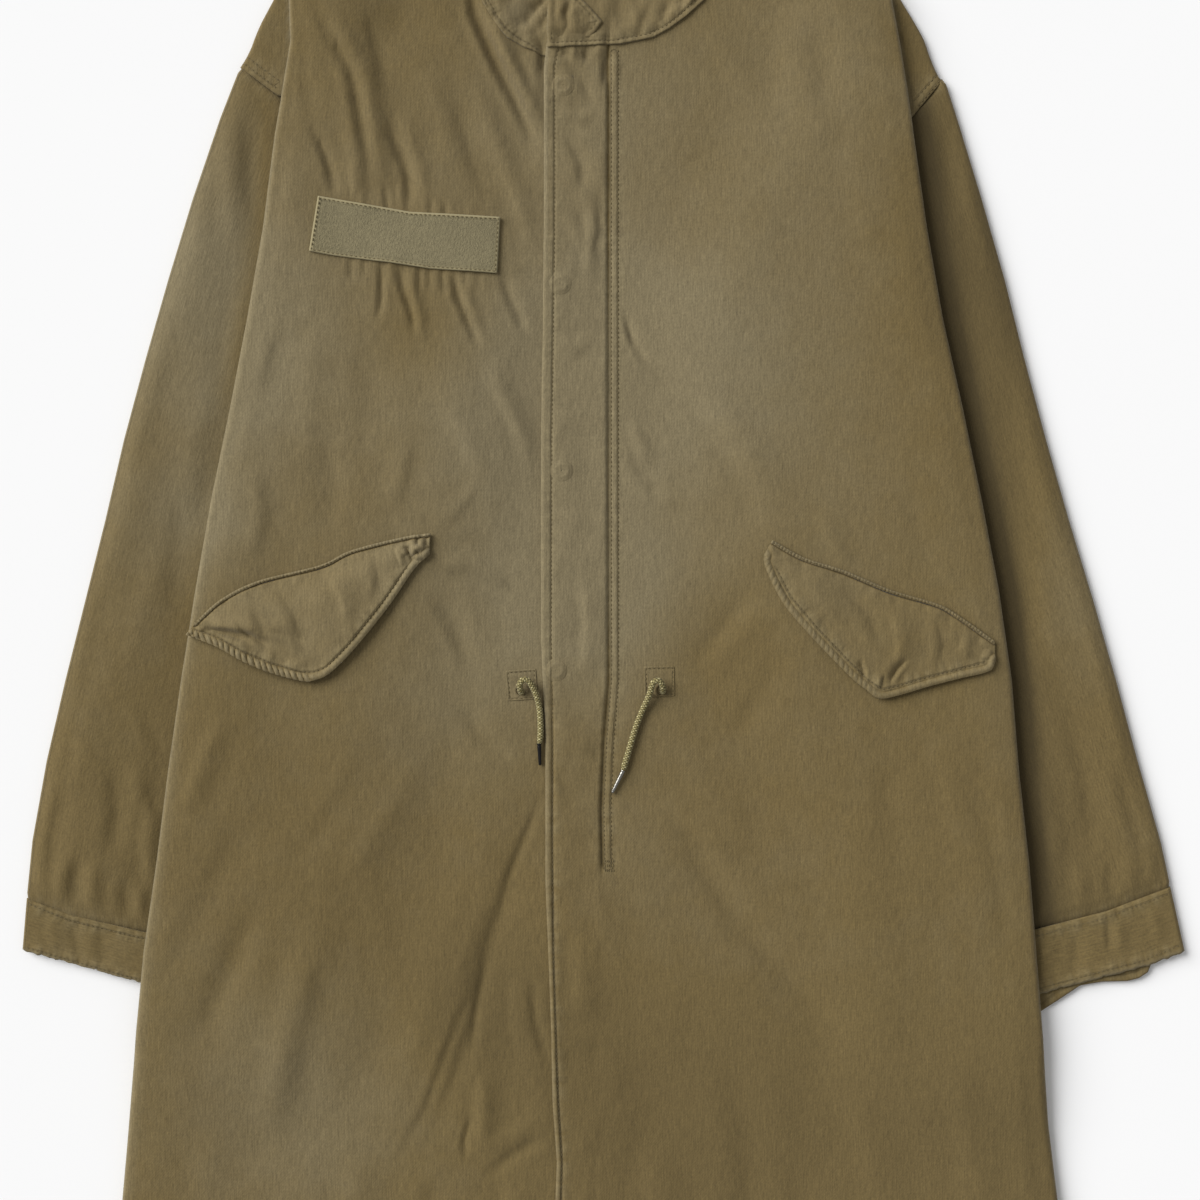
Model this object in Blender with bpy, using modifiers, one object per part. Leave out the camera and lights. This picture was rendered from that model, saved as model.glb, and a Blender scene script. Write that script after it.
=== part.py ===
"""Military parka laid flat on a table, front up, sleeves tucked behind the body.

Built in millimetres and scaled to metres. +X is the wearer's left, +Y points to the collar, +Z up.
The origin is at the middle of the box round the garment, on the table. Right and left are the wearer's.
Each piece of cloth is a wall through a grid of points on its middle surface. From the table up lie
the sleeves, the back, the two fronts, and then what is sewn on the fronts.
"""
import math

import bmesh
import bpy
import numpy as np
from mathutils import Vector
from mathutils.bvhtree import BVHTree

MM = 0.001

# ---- cloth and gaps
CLOTH = 1.2              # one wall of cloth
COLLAR_CLOTH = 2.0       # two cloths sewn together
CUFF_CLOTH = 1.6
FLAP_CLOTH = 2.2         # pocket flaps, with their turned edges
TAPE = 1.6               # hook-and-loop tape
PATCH_CLOTH = 1.0        # squares that the waist cord comes out of
SEAM_GAP = 0.3           # between pieces that meet
AIR = 2.8                # loose air inside the body and the sleeves

# ---- body
TOP_COLUMNS = 15         # across one front, from the middle to the side fold
BACK_COLUMNS = 21
RETURN_WIDTH = 26.0      # the front goes this far round the side, to the side seam
SHOULDER_ROLL = 10.0     # the shoulder goes this far under, to the back
FLY_RISE = 2.4           # the fly's outer cloth above the front under it
FLY_WIDTH = 46.0         # from the fly's edge to its inner row of stitching
RIGHT_FRONT_EDGE = -18.0  # the right front ends here, under the fly
NECK_SIDE_Y = 441.0
BACK_NECK_DIP = 9.0

# ---- sleeves, cuffs, collar
SLEEVE_ROWS = 17
SLEEVE_HALF_RING = 8
CUFF_ROWS = 3
COLLAR_HEIGHT = 76.8
COLLAR_ROWS = 6
COLLAR_COLUMNS = 12      # of the back of the collar
COLLAR_RETURN = 8.0      # the front of the collar goes this far round its side
COLLAR_Z = 5.2           # middle height of the collar's front
COLLAR_LAP = 2.7         # rise of the left collar where it lies over the right one
UNDER_LAP = 1.3          # the right collar starts this much higher, clear of the fly's top

# ---- sewn-on pieces
CORD = 4.6               # diameter of the waist cord
CORD_HOLE = 7.0
PATCH_SIDE = 21.0
SNAP_DIAMETER = 11.0
SNAP_HEIGHT = 1.0

# Heights of the middle surfaces, worked out from the layers.
FLOOR_Z = CLOTH / 2
SLEEVE_TOP_Z = FLOOR_Z + CLOTH + AIR
FRONT_Z = FLOOR_Z + CLOTH + AIR
OVER_SLEEVE = SLEEVE_TOP_Z + CLOTH / 2 + SEAM_GAP

# Body's stations from the neck to the hem.
STATIONS = [441, 420, 399, 378, 367, 359, 354, 349, 346, 330, 309, 288, 262, 232, 196, 156, 116, 76, 36, -4,
            -44, -84, -124, -164, -204, -244, -284, -324, -364, -404, -444, -482, -518]

# Side fold that shows as the body's edge: height on the page, right side, left side.
FOLD = [(441, -130, 117), (420, -176, 157), (399, -207, 188), (378, -219, 200), (346, -218, 206),
        (315, -223, 211), (280, -229, 216), (217, -237, 225), (154, -248, 236), (91, -260, 250),
        (28, -273, 263), (-35, -284, 275), (-98, -294, 284), (-161, -303, 289), (-224, -311, 296),
        (-287, -320, 301), (-350, -326, 306), (-406, -331, 310), (-462, -336, 317), (-518, -341, 321)]

# Neckline of each front: height on the page, distance across.
NECK_RIGHT = [(346, RIGHT_FRONT_EDGE), (349, -55), (354, -67), (359, -72), (367, -78), (378, -85),
              (399, -93), (420, -99), (441, -104)]
NECK_LEFT = [(346, -39), (349, 12), (354, 35), (359, 45), (367, 57), (378, 70), (399, 77), (420, 83),
             (441, 89)]

# Fly's free edge below the neck: height on the page, distance across.
FLY_EDGE = [(-518, -34), (-462, -33), (-433, -32), (-391, -35), (-340, -36), (-286, -38), (-238, -40),
            (-139, -40), (-70, -43), (70, -43), (224, -41), (329, -41), (346, -39)]

# Turned-down lip of the fly's edge: distance in from the edge, drop below the fly's top.
FLY_LIP = [(0.6, 1.3), (0.85, 0.45)]

# One set of sizes for each side. side is -1 for the right, +1 for the left.
SIDES = {
    "right": dict(
        side=-1,
        fold_column=1,
        armhole_station=309,
        # shoulder's outline: height, distance across
        shoulder=[(330, -254), (350, -245), (378, -230), (399, -212), (420, -181), (441, -132)],
        # armhole seam from the shoulder's edge down to the underarm: across, height
        armhole=[(-254, 330), (-226, 309), (-204, 280), (-163, 217), (-128, 147)],
        # back's armhole edge: height, distance across
        back_edge=[(309, -180), (330, -206), (349, -226)],
        # sleeve's outer edge from the armhole to the cuff: across, height
        sleeve=[(-254, 330), (-268, 294), (-287, 238), (-304, 182), (-320, 126), (-335, 70), (-348, 14),
                (-362, -42), (-376, -98), (-389, -154), (-399, -210), (-403, -250)],
        # cuff's seam and lower edge, outer edge first: across, height
        cuff_seam=[(-403, -250), (-371, -262), (-319, -274), (-265, -288)],
        cuff_low=[(-406, -286), (-365, -297), (-323, -309), (-267, -324)],
        neck=NECK_RIGHT,
    ),
    "left": dict(
        side=1,
        fold_column=2,
        armhole_station=288,
        shoulder=[(322, 237), (350, 224), (378, 207), (399, 191), (420, 162), (441, 119)],
        armhole=[(238, 322), (215, 295), (194, 266), (155, 203), (127, 140)],
        back_edge=[(288, 166), (309, 182), (322, 194), (349, 206)],
        sleeve=[(238, 322), (247, 294), (264, 238), (280, 182), (294, 126), (309, 70), (325, 14),
                (342, -42), (358, -98), (373, -154), (389, -210), (396, -242)],
        cuff_seam=[(396, -242), (351, -259), (301, -272), (253, -287)],
        cuff_low=[(406, -287), (380, -297), (345, -306), (303, -317), (251, -332)],
        neck=NECK_LEFT,
    ),
}

# Large soft folds of the fronts: from x, y to x, y, half width, height (a trough is below zero).
BODY_FOLDS = [
    (-204, 352, -186, 240, 13, -1.8),
    (-190, 372, -166, 236, 12, 2.4),
    (-150, 376, -134, 226, 13, -1.6),
    (-98, 380, -46, 258, 14, -2.0),
    (-78, 372, -38, 290, 12, 1.8),
    (-44, -191, -126, -431, 15, -2.0),
    (-70, -180, -150, -420, 18, 2.2),
    (-48, -300, -40, -430, 13, 1.6),
    (-238, -250, -282, -352, 18, -1.4),
    (-205, -282, -236, -420, 18, 1.6),
    (-246, -195, -310, -324, 18, -1.2),
    (24, 126, 112, 0, 16, -1.4),
    (104, -28, 60, -92, 16, -1.6),
    (46, -190, 168, -346, 20, -1.4),
    (60, -176, 190, -330, 20, 1.6),
    (138, 372, 150, 270, 15, 1.4),
]

# Chest tape: top and lower edge from the sleeve to the fly, across and height on the page.
TAPE_TOP = [(-198, 238), (-163, 232), (-134, 227), (-72, 224)]
TAPE_LOW = [(-204, 200), (-187, 197), (-147, 192), (-121, 188), (-74, 185)]

# Pocket flaps: seam and free edge from the viewer's left to the right, and how far the cloth puffs up.
FLAPS = {
    "right": dict(
        seam=[(-283, -58), (-265, -42), (-239, -29), (-196, -18), (-175, -8), (-140, 1), (-120, 4)],
        free=[(-289, -66), (-268, -74), (-250, -84), (-231, -92), (-208, -98), (-199, -97), (-189, -92),
              (-173, -76), (-149, -46), (-132, -21), (-121, -10)],
        puff=4.0,
    ),
    "left": dict(
        seam=[(117, -1), (139, -13), (167, -22), (198, -35), (231, -45), (247, -54), (271, -71)],
        free=[(112, -10), (112, -18), (124, -43), (143, -66), (170, -94), (182, -104), (191, -110),
              (204, -108), (224, -102), (247, -96), (267, -91), (271, -84)],
        puff=2.4,
    ),
}

# Throat tab on the left collar: height on the page, its right edge across. Its left edge is straight.
THROAT_TAB = [(348.5, -10), (354, -5), (360, -1), (369, -9), (378, -18), (388, -28), (397, -36)]
THROAT_TAB_LEFT = -38.6

# Left cuff's tab: its end inside the cuff, and its rounded edge that shows. Across, height on the page.
CUFF_TAB_TOP = [(276, -300), (320, -286), (373, -277)]
CUFF_TAB_LOW = [(278, -334), (290, -336), (304, -330), (318, -321), (333, -311), (348, -308.5), (366, -308),
                (374, -306), (380, -302), (382, -297)]

# Cord patches: the middle and the hole's middle (across, height on the page), and the turn in degrees.
CORD_PATCHES = {
    "right": dict(middle=(-57.0, -101.0), turn=4.0, hole=(-57.2, -105.2)),
    "left": dict(middle=(38.8, -98.6), turn=1.5, hole=(40.6, -104.8)),
}

# Waist cord's routes from the hole to the tip: across, height on the page, height of the cord's middle
# above the front at the hole, or LIES where it rests on what is below it.
LIES = None
CORD_ROUTES = {
    "right": [(-57.0, -106.3, 1.6), (-57.5, -104.9, 3.7), (-58.2, -102.6, 5.6), (-57.8, -99.4, 6.9),
              (-55.2, -97.2, 7.4), (-52.2, -98.2, 7.1), (-49.8, -101.4, 6.2), (-47.8, -105.4, 5.2),
              (-46.0, -110.4, 4.2), (-44.9, -115.6, LIES), (-44.2, -121.0, LIES), (-43.9, -127.0, LIES),
              (-43.8, -133.0, LIES), (-44.1, -138.0, LIES), (-44.8, -143.2, LIES)],
    "left": [(41.1, -106.0, 1.6), (41.3, -104.6, 3.7), (41.0, -102.4, 5.6), (39.8, -99.4, 6.9),
             (37.2, -97.8, 7.4), (34.5, -99.4, 7.1), (33.2, -103.2, 6.2), (31.9, -107.6, 5.1),
             (30.0, -112.4, 4.0), (26.8, -119.4, LIES), (22.6, -130.2, LIES), (19.0, -142.0, LIES),
             (16.1, -151.9, LIES), (13.1, -161.8, LIES)],
}
CORD_POINTS = 30

# Cord tips: end across, end height on the page, diameter.
AGLETS = {"right": (-44.2, -157.1, 2.4), "left": (5.9, -176.4, 2.6)}

# Snap caps along the fly: across, height on the page.
SNAPS = [(-28, 316), (-30, 178), (-29, 48), (-33, -91)]

OLIVE = (0.166, 0.126, 0.060)
OLIVE_PALE = (0.215, 0.178, 0.096)
CORD_OLIVE = (0.30, 0.26, 0.10)
SNAP_OLIVE = (0.19, 0.155, 0.08)
AGLET_BLACK = (0.03, 0.03, 0.03)
AGLET_STEEL = (0.62, 0.60, 0.57)


# ---------------------------------------------------------------- helpers

def clear_scene():
    for item in list(bpy.data.objects):
        bpy.data.objects.remove(item, do_unlink=True)


def new_collection(name):
    collection = bpy.data.collections.new(name)
    bpy.context.scene.collection.children.link(collection)
    return collection


def new_material(name, colour, roughness=0.9, metallic=0.0):
    material = bpy.data.materials.new(name)
    material.use_nodes = True
    shader = material.node_tree.nodes["Principled BSDF"]
    shader.inputs["Base Color"].default_value = (*colour, 1.0)
    shader.inputs["Roughness"].default_value = roughness
    shader.inputs["Metallic"].default_value = metallic
    return material


def add_object(name, mesh, material, collection):
    item = bpy.data.objects.new(name, mesh)
    mesh.materials.append(material)
    collection.objects.link(item)
    return item


def smooth(value):
    value = np.clip(value, 0.0, 1.0)
    return value * value * (3.0 - 2.0 * value)


def read_table(table, at, column=1):
    """Value of a table's column at a place in its first column, in straight steps between rows."""
    rows = sorted(table)
    return float(np.interp(at, [row[0] for row in rows], [row[column] for row in rows]))


def along(points, share):
    """Point at a share of a polyline's length."""
    points = np.asarray(points, float)
    steps = np.linalg.norm(np.diff(points, axis=0), axis=1)
    travelled = np.concatenate([[0.0], np.cumsum(steps)])
    return np.array([np.interp(share * travelled[-1], travelled, points[:, k]) for k in range(points.shape[1])])


def smooth_curve(points, count):
    """Points evenly spread over a Catmull-Rom curve through the given ones."""
    points = [np.asarray(point, float) for point in points]
    points = [2 * points[0] - points[1]] + points + [2 * points[-1] - points[-2]]
    dense = []
    for a, b, c, d in zip(points, points[1:], points[2:], points[3:]):
        for t in np.linspace(0.0, 1.0, 12, endpoint=False):
            dense.append(0.5 * (2 * b + (c - a) * t + (2 * a - 5 * b + 4 * c - d) * t ** 2
                                + (3 * b - a - 3 * c + d) * t ** 3))
    dense.append(points[-2])
    return [along(dense, share) for share in np.linspace(0.0, 1.0, count)]


def wall(name, grid, thickness, material, collection, keep=None, ring=False):
    """Cloth of one thickness through a grid of points on its middle surface.

    grid[row][column] is a point, or None where the cloth doesn't reach. keep(row, column) says whether the
    face that starts there is cloth. A ring's last column joins its first."""
    mesh = bpy.data.meshes.new(name)
    shell = bmesh.new()
    corners = [[None if p is None else shell.verts.new(Vector(p) * MM) for p in row] for row in grid]
    columns = len(grid[0])
    for r in range(len(grid) - 1):
        for c in range(columns if ring else columns - 1):
            d = (c + 1) % columns
            face = (corners[r][c], corners[r][d], corners[r + 1][d], corners[r + 1][c])
            if None not in face and (keep is None or keep(r, c)):
                shell.faces.new(face)
    loose = [vertex for vertex in shell.verts if not vertex.link_faces]
    bmesh.ops.delete(shell, geom=loose, context="VERTS")
    bmesh.ops.recalc_face_normals(shell, faces=shell.faces)
    shell.to_mesh(mesh)
    shell.free()
    mesh.shade_smooth()
    item = add_object(name, mesh, material, collection)
    solid = item.modifiers.new("cloth", "SOLIDIFY")
    solid.thickness = thickness * MM
    solid.offset = 0.0
    solid.use_even_offset = True
    solid.use_quality_normals = True
    return item


class Ground:
    """What lies below a piece: the highest cloth at each place on the page."""

    def __init__(self, items):
        depsgraph = bpy.context.evaluated_depsgraph_get()
        self.trees = [BVHTree.FromObject(item, depsgraph) for item in items]

    def top(self, x, y, reach=0.0):
        """Highest cloth within a reach of a place, in millimetres."""
        places = [(x, y)]
        if reach:
            turns = [math.tau * k / 8 for k in range(8)]
            places += [(x + reach * math.cos(a), y + reach * math.sin(a)) for a in turns]
        heights = [0.0]
        for tree in self.trees:
            for px, py in places:
                hit = tree.ray_cast(Vector((px * MM, py * MM, 1.0)), Vector((0, 0, -1)))[0]
                if hit is not None:
                    heights.append(hit.z / MM)
        return max(heights)


# ---------------------------------------------------------------- levels of the layers

def sleeve_rows(side):
    """Outer and inner ends of the sleeve's sections, from the armhole to the cuff."""
    inner_from = np.array(side["armhole"][-1], float)
    inner_to = np.array(side["cuff_seam"][-1], float)
    rows = []
    for share in np.linspace(0.0, 1.0, SLEEVE_ROWS):
        rows.append((along(side["sleeve"], share), inner_from + (inner_to - inner_from) * share))
    return rows


def raised_outline(side):
    """Plan of the sleeve that lies below the body, without its corner next to the shoulder."""
    inward = -side["side"]
    start = np.array(side["armhole"][2], float)
    cuff_inner = np.array(side["cuff_low"][-1], float)
    cuff_outer = np.array(side["cuff_low"][0], float)
    return [start - np.array((inward * 40.0, 12.0)), start, *side["armhole"][3:], cuff_inner, cuff_outer]


def distance_outside(x, y, outline):
    """How far a place is outside a closed outline, 0 inside it."""
    inside = False
    nearest = math.inf
    for (ax, ay), (bx, by) in zip(outline, outline[1:] + outline[:1]):
        if (ay > y) != (by > y) and x < (bx - ax) * (y - ay) / (by - ay) + ax:
            inside = not inside
        length = (bx - ax) ** 2 + (by - ay) ** 2
        t = min(1.0, max(0.0, ((x - ax) * (bx - ax) + (y - ay) * (by - ay)) / length))
        nearest = min(nearest, math.hypot(x - ax - t * (bx - ax), y - ay - t * (by - ay)))
    return 0.0 if inside else nearest


OUTLINES = {name: raised_outline(side) for name, side in SIDES.items()}


def ride(x, y, margin, fade):
    """How far the cloth is lifted by the sleeve below it."""
    outline = OUTLINES["right" if x < 0 else "left"]
    return OVER_SLEEVE * float(smooth((margin + fade - distance_outside(x, y, outline)) / fade))


def back_ride(x, y):
    return ride(x, y, margin=28.0, fade=30.0)


def pleat_heights(y):
    """Middle heights of the shoulder, of the pleat's return and of its fold."""
    full = float(smooth((NECK_SIDE_Y - y) / 50.0))
    return 2.6 + 2.0 * full, 5.0 + 2.0 * full, 7.4 + 2.4 * full


def fold_x(y, side):
    return read_table(FOLD, y, side["fold_column"])


def tuck_x(y, side):
    """Inner turn of the pleat, or the side seam below the armhole."""
    inward = -side["side"]
    room = abs(read_table(side["neck"], y) - fold_x(y, side)) - 8.0
    return fold_x(y, side) + inward * min(RETURN_WIDTH, room)


def fold_relief(x, y):
    """Sum of the soft folds at a place."""
    relief = 0.0
    for ax, ay, bx, by, half_width, height in BODY_FOLDS:
        length = (bx - ax) ** 2 + (by - ay) ** 2
        t = ((x - ax) * (bx - ax) + (y - ay) * (by - ay)) / length
        t_on = min(1.0, max(0.0, t))
        off = math.hypot(x - ax - t_on * (bx - ax), y - ay - t_on * (by - ay))
        taper = float(smooth(4.0 * min(t_on, 1.0 - t_on) + 0.25))
        relief += height * taper * math.exp(-(off / half_width) ** 2)
    return max(relief, -AIR + 0.6)


def front_height(x, y):
    """Middle height of a front panel, without the fly."""
    side = SIDES["right" if x < 0 else "left"]
    wide = ride(x, y, margin=38.0, fade=75.0)
    reach_in = (x - tuck_x(y, side)) * -side["side"]
    near_pleat = float(smooth((58.0 - reach_in) / 50.0))
    above_armhole = float(smooth((y - side["armhole_station"] + 60.0) / 45.0))
    pleat = (pleat_heights(y)[2] - FRONT_Z) * near_pleat * above_armhole
    lift = (wide ** 6 + max(pleat, 0.0) ** 6) ** (1.0 / 6.0)
    return FRONT_Z + lift + fold_relief(x, y) * float(smooth(reach_in / 40.0))


def fly_height(x, y, start):
    """Middle height of the left front, with the fly's rise next to its edge."""
    return front_height(x, y) + FLY_RISE * float(smooth((FLY_WIDTH - (x - start)) / 10.0))


# ---------------------------------------------------------------- body

def arc(x, z_from, z_to, outward, count, slant=0.0):
    """Half turn of cloth in a section, from one height to another; outward is the way it bulges.

    slant is how far the fold's edge moves across for each step down the page: a slanted fold is wider in
    its section."""
    radius = abs(z_from - z_to) / 2
    wide = radius * math.hypot(1.0, slant)
    middle = (z_from + z_to) / 2
    start = math.pi / 2 if z_from > z_to else -math.pi / 2
    points = []
    for k in range(count):
        angle = start - math.copysign(math.pi, start) * (k + 1) / (count + 1)
        points.append((x - outward * wide * (1.0 - math.cos(angle)), middle + radius * math.sin(angle)))
    return points


def armhole_y(x, side):
    return read_table(side["armhole"], x)


def edge_slant(y, side):
    """How far the side fold moves across for each millimetre down the page."""
    return (fold_x(y + 4.0, side) - fold_x(y - 4.0, side)) / 8.0


def front_panel(name, key, material, collection):
    """One front: its top, the fold at its side, the return to the side seam, and above the armhole the
    pleat's second turn and the shoulder, which rolls under to the back."""
    side = SIDES[key]
    sign = side["side"]
    is_left = key == "left"
    seam_y = side["armhole_station"]
    grid = []
    for y in STATIONS:
        above = y >= seam_y
        cap_z, return_z, fold_z = pleat_heights(y)
        edge = fold_x(y, side) - sign * CLOTH / 2
        tuck = tuck_x(y, side)
        start = read_table(side["neck"], y) if y >= 346 or not is_left else read_table(FLY_EDGE, y)
        if y < 346 and not is_left:
            start = RIGHT_FRONT_EDGE
        row = []

        def put(x, z, page_y=y):
            row.append((x, page_y, z))

        if is_left:
            top = fly_height(start, y, start)
            for reach, drop in FLY_LIP:
                row.append((start + reach, y, top - drop) if y <= 346 else None)
        first = start + 2.0 if is_left and y <= 346 else start
        slant = edge_slant(y, side)
        top_z = front_height(tuck, y)
        bottom_z = return_z if above else back_ride(edge, y) + FLOOR_Z
        last = edge - sign * abs(top_z - bottom_z) / 2 * math.hypot(1.0, slant)
        for k in range(TOP_COLUMNS):
            share = k / (TOP_COLUMNS - 1)
            x = first + (last - first) * share
            z = fly_height(x, y, start) if is_left and y <= 346 else front_height(x, y)
            if k == TOP_COLUMNS - 1:
                z = top_z
            put(x, z)
        for x, z in arc(edge, top_z, bottom_z, sign, 3, slant):
            put(x, z)
        for share in (0.15, 0.55, 1.0):
            x = last + (tuck - last) * share
            if above:
                put(x if share < 1.0 else tuck + sign * 1.5, bottom_z)
            else:
                put(x, back_ride(x, y) + FLOOR_Z)
        if not above:
            row += [None] * 9
            grid.append(row)
            continue
        full = float(smooth((y - seam_y) / 80.0))

        def cap_y(x):
            return y * full + (1.0 - full) * max(armhole_y(x, side) + (y - seam_y) * 0.6, y)

        put(tuck, (return_z + cap_z) / 2)
        cap_from = tuck + sign * 1.5
        rim = read_table(side["shoulder"], cap_y(side["armhole"][0][0])) - sign * CLOTH / 2
        cap_to = rim - sign * (cap_z - FLOOR_Z) / 2 * math.hypot(1.0, slant)
        for share in (0.0, 0.4, 0.75, 1.0):
            x = cap_from + (cap_to - cap_from) * share
            put(x, cap_z, cap_y(x))
        for x, z in arc(rim, cap_z, FLOOR_Z, sign, 3, slant):
            put(x, z, cap_y(x))
        put(rim - sign * SHOULDER_ROLL, FLOOR_Z, cap_y(rim - sign * SHOULDER_ROLL))
        grid.append(row)
    return wall(name, grid, CLOTH, material, collection)


def back_panel(material, collection):
    """The back, flat on the table in the middle and over the sleeves at its sides."""
    grid = []
    for index, y in enumerate(STATIONS):
        ends = []
        for key in ("right", "left"):
            side = SIDES[key]
            sign = side["side"]
            if y > 349:
                roll = CLOTH / 2 + SHOULDER_ROLL + 3.0 * SEAM_GAP
                ends.append(read_table(side["shoulder"], y) - sign * roll)
            elif y >= side["armhole_station"]:
                ends.append(read_table(side["back_edge"], y))
            else:
                ends.append(tuck_x(y, side) - sign * SEAM_GAP)
        row = []
        for share in np.linspace(0.0, 1.0, BACK_COLUMNS):
            x = ends[0] + (ends[1] - ends[0]) * share
            dip = BACK_NECK_DIP * math.sin(math.pi * share) * max(0.0, 1.0 - index / 3.0)
            row.append((x, y - dip, back_ride(x, y) + FLOOR_Z))
        grid.append(row)
    return wall("back", grid, CLOTH, material, collection)


# ---------------------------------------------------------------- sleeves and cuffs

def ring_section(outer, inner, thickness, bend=None):
    """Closed section of a flattened tube from its outer edge to its inner one and back.

    bend(share) moves the section sideways at a share of its width."""
    low = thickness / 2
    high = SLEEVE_TOP_Z - (thickness - CLOTH) / 2
    radius = (high - low) / 2
    outer = np.asarray(outer, float)
    inner = np.asarray(inner, float)
    span = inner - outer
    length = np.linalg.norm(span)
    way = span / length
    points = []

    def put(distance, z):
        x, y = outer + way * distance
        if bend is not None:
            x, y = (x, y) + bend(distance / length)
        points.append((x, y, z))

    start = thickness / 2 + radius
    for k in range(SLEEVE_HALF_RING):
        put(start + (length - 2 * start) * k / (SLEEVE_HALF_RING - 1), high)
    for k in (1, 2):
        angle = math.pi / 2 - math.pi * k / 3
        put(length - start + radius * math.cos(angle), (low + high) / 2 + radius * math.sin(angle))
    for k in range(SLEEVE_HALF_RING):
        put(length - start - (length - 2 * start) * k / (SLEEVE_HALF_RING - 1), low)
    for k in (1, 2):
        angle = -math.pi / 2 - math.pi * k / 3
        put(start + radius * math.cos(angle), (low + high) / 2 + radius * math.sin(angle))
    return points


def sleeve(name, key, material, collection):
    """Sleeve as a flattened tube from the armhole to the cuff's seam."""
    side = SIDES[key]
    armhole = np.array(side["armhole"], float)
    rows = sleeve_rows(side)
    down = (rows[1][0] - rows[0][0]) / np.linalg.norm(rows[1][0] - rows[0][0])
    ends = {0: down * 2.0 * SEAM_GAP, len(rows) - 1: -down * SEAM_GAP}
    grid = []
    for index, (outer, inner) in enumerate(rows):
        fade = max(0.0, 1.0 - index / 5.0) ** 2

        def bend(share):
            return (along(armhole, share) - armhole[0] - (armhole[-1] - armhole[0]) * share) * fade

        shift = ends.get(index, 0.0)
        grid.append(ring_section(outer + shift, inner + shift, CLOTH, bend))
    return wall(name, grid, CLOTH, material, collection, ring=True)


def cuff(name, key, material, collection):
    """Cuff band, from its seam to its lower edge."""
    side = SIDES[key]
    grid = []
    for share in np.linspace(0.0, 1.0, CUFF_ROWS):
        outer = np.array(side["cuff_seam"][0]) * (1 - share) + np.array(side["cuff_low"][0]) * share
        inner = np.array(side["cuff_seam"][-1]) * (1 - share) + np.array(side["cuff_low"][-1]) * share
        grid.append(ring_section(outer, inner, CUFF_CLOTH))
    return wall(name, grid, CUFF_CLOTH, material, collection, ring=True)


def cuff_tab(material, collection):
    """Flat tab that lies between the two walls of the left cuff and shows below it."""
    grid = []
    for v in np.linspace(0.0, 1.0, 3):
        row = []
        for u in np.linspace(0.0, 1.0, 14):
            x, y = along(CUFF_TAB_TOP, u) * (1.0 - v) + along(CUFF_TAB_LOW, u) * v
            row.append((x, y, (FLOOR_Z + FRONT_Z) / 2))
        grid.append(row)
    return wall("cuff_tab_left", grid, CLOTH, material, collection)


# ---------------------------------------------------------------- collar

def neck_seam(side):
    """Where the collar's front starts: the neckline's points, moved out by a seam's gap."""
    points = []
    rows = [np.array((x, y), float) for y, x in side["neck"]]
    for a, b in zip(rows, rows[1:]):
        steps = max(1, round(np.linalg.norm(b - a) / 16.0))
        points += [a + (b - a) * k / steps for k in range(steps)]
    points.append(rows[-1])
    moved = []
    for index, point in enumerate(points):
        way = points[min(index + 1, len(points) - 1)] - points[max(index - 1, 0)]
        way /= np.linalg.norm(way)
        moved.append(point + np.array((-way[1], way[0])) * side["side"] * SEAM_GAP * 1.5)
    return moved


def collar_front(name, key, material, collection):
    """Half of the collar's front: it stands on the neckline, lies up the page and folds round its side."""
    side = SIDES[key]
    sign = side["side"]
    seam = neck_seam(side)
    edge = side["neck"][-1][1] + sign * CLOTH / 2
    low = COLLAR_CLOTH / 2
    grid = []
    for v in np.linspace(0.0, 1.0, COLLAR_ROWS):
        row = []
        for x, y in seam:
            seam_z = front_height(x, y)
            if key == "left":
                lap = COLLAR_LAP * float(smooth((10.0 - x) / 14.0))
                under = 0.0
            else:
                lap = 0.0
                under = UNDER_LAP * float(smooth((x + 42.0) / 22.0))
            z = seam_z + (COLLAR_Z - seam_z) * float(smooth(v / 0.4)) + lap
            row.append((x, y + under + v * COLLAR_HEIGHT, z))
        end_y = row[-1][1]
        top = row[-1][2]
        radius = (top - low) / 2
        row[-1] = (edge - sign * radius, end_y, top)
        row += [(x, end_y, z) for x, z in arc(edge, top, low, sign, 3)]
        row.append((edge - sign * (radius + COLLAR_RETURN), end_y, low))
        grid.append(row)
    return wall(name, grid, COLLAR_CLOTH, material, collection)


def collar_back(material, collection):
    """Back of the collar, flat on the table above the back's neckline."""
    ends = []
    for side in SIDES.values():
        sign = side["side"]
        edge = side["neck"][-1][1] + sign * CLOTH / 2
        radius = (COLLAR_Z - COLLAR_CLOTH / 2) / 2
        ends.append(edge - sign * (radius + COLLAR_RETURN + 6.0 * SEAM_GAP))
    grid = []
    for v in np.linspace(0.0, 1.0, COLLAR_ROWS):
        row = []
        for share in np.linspace(0.0, 1.0, COLLAR_COLUMNS):
            x = ends[0] + (ends[1] - ends[0]) * share
            dip = BACK_NECK_DIP * math.sin(math.pi * share) * (1.0 - v)
            row.append((x, NECK_SIDE_Y + SEAM_GAP - dip + v * COLLAR_HEIGHT, COLLAR_CLOTH / 2))
        grid.append(row)
    return wall("collar_back", grid, COLLAR_CLOTH, material, collection)


def throat_tab(ground, material, collection):
    """Pointed tab sewn flat on the left collar above the neck seam."""
    grid = []
    for y, right in THROAT_TAB:
        row = []
        for share in np.linspace(0.0, 1.0, 4):
            x = THROAT_TAB_LEFT + (right - THROAT_TAB_LEFT) * share
            row.append((x, y, ground.top(x, y, 5.0) + SEAM_GAP + CLOTH / 2))
        grid.append(row)
    return wall("throat_tab", grid, CLOTH, material, collection)


# ---------------------------------------------------------------- what is sewn on the fronts

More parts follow.
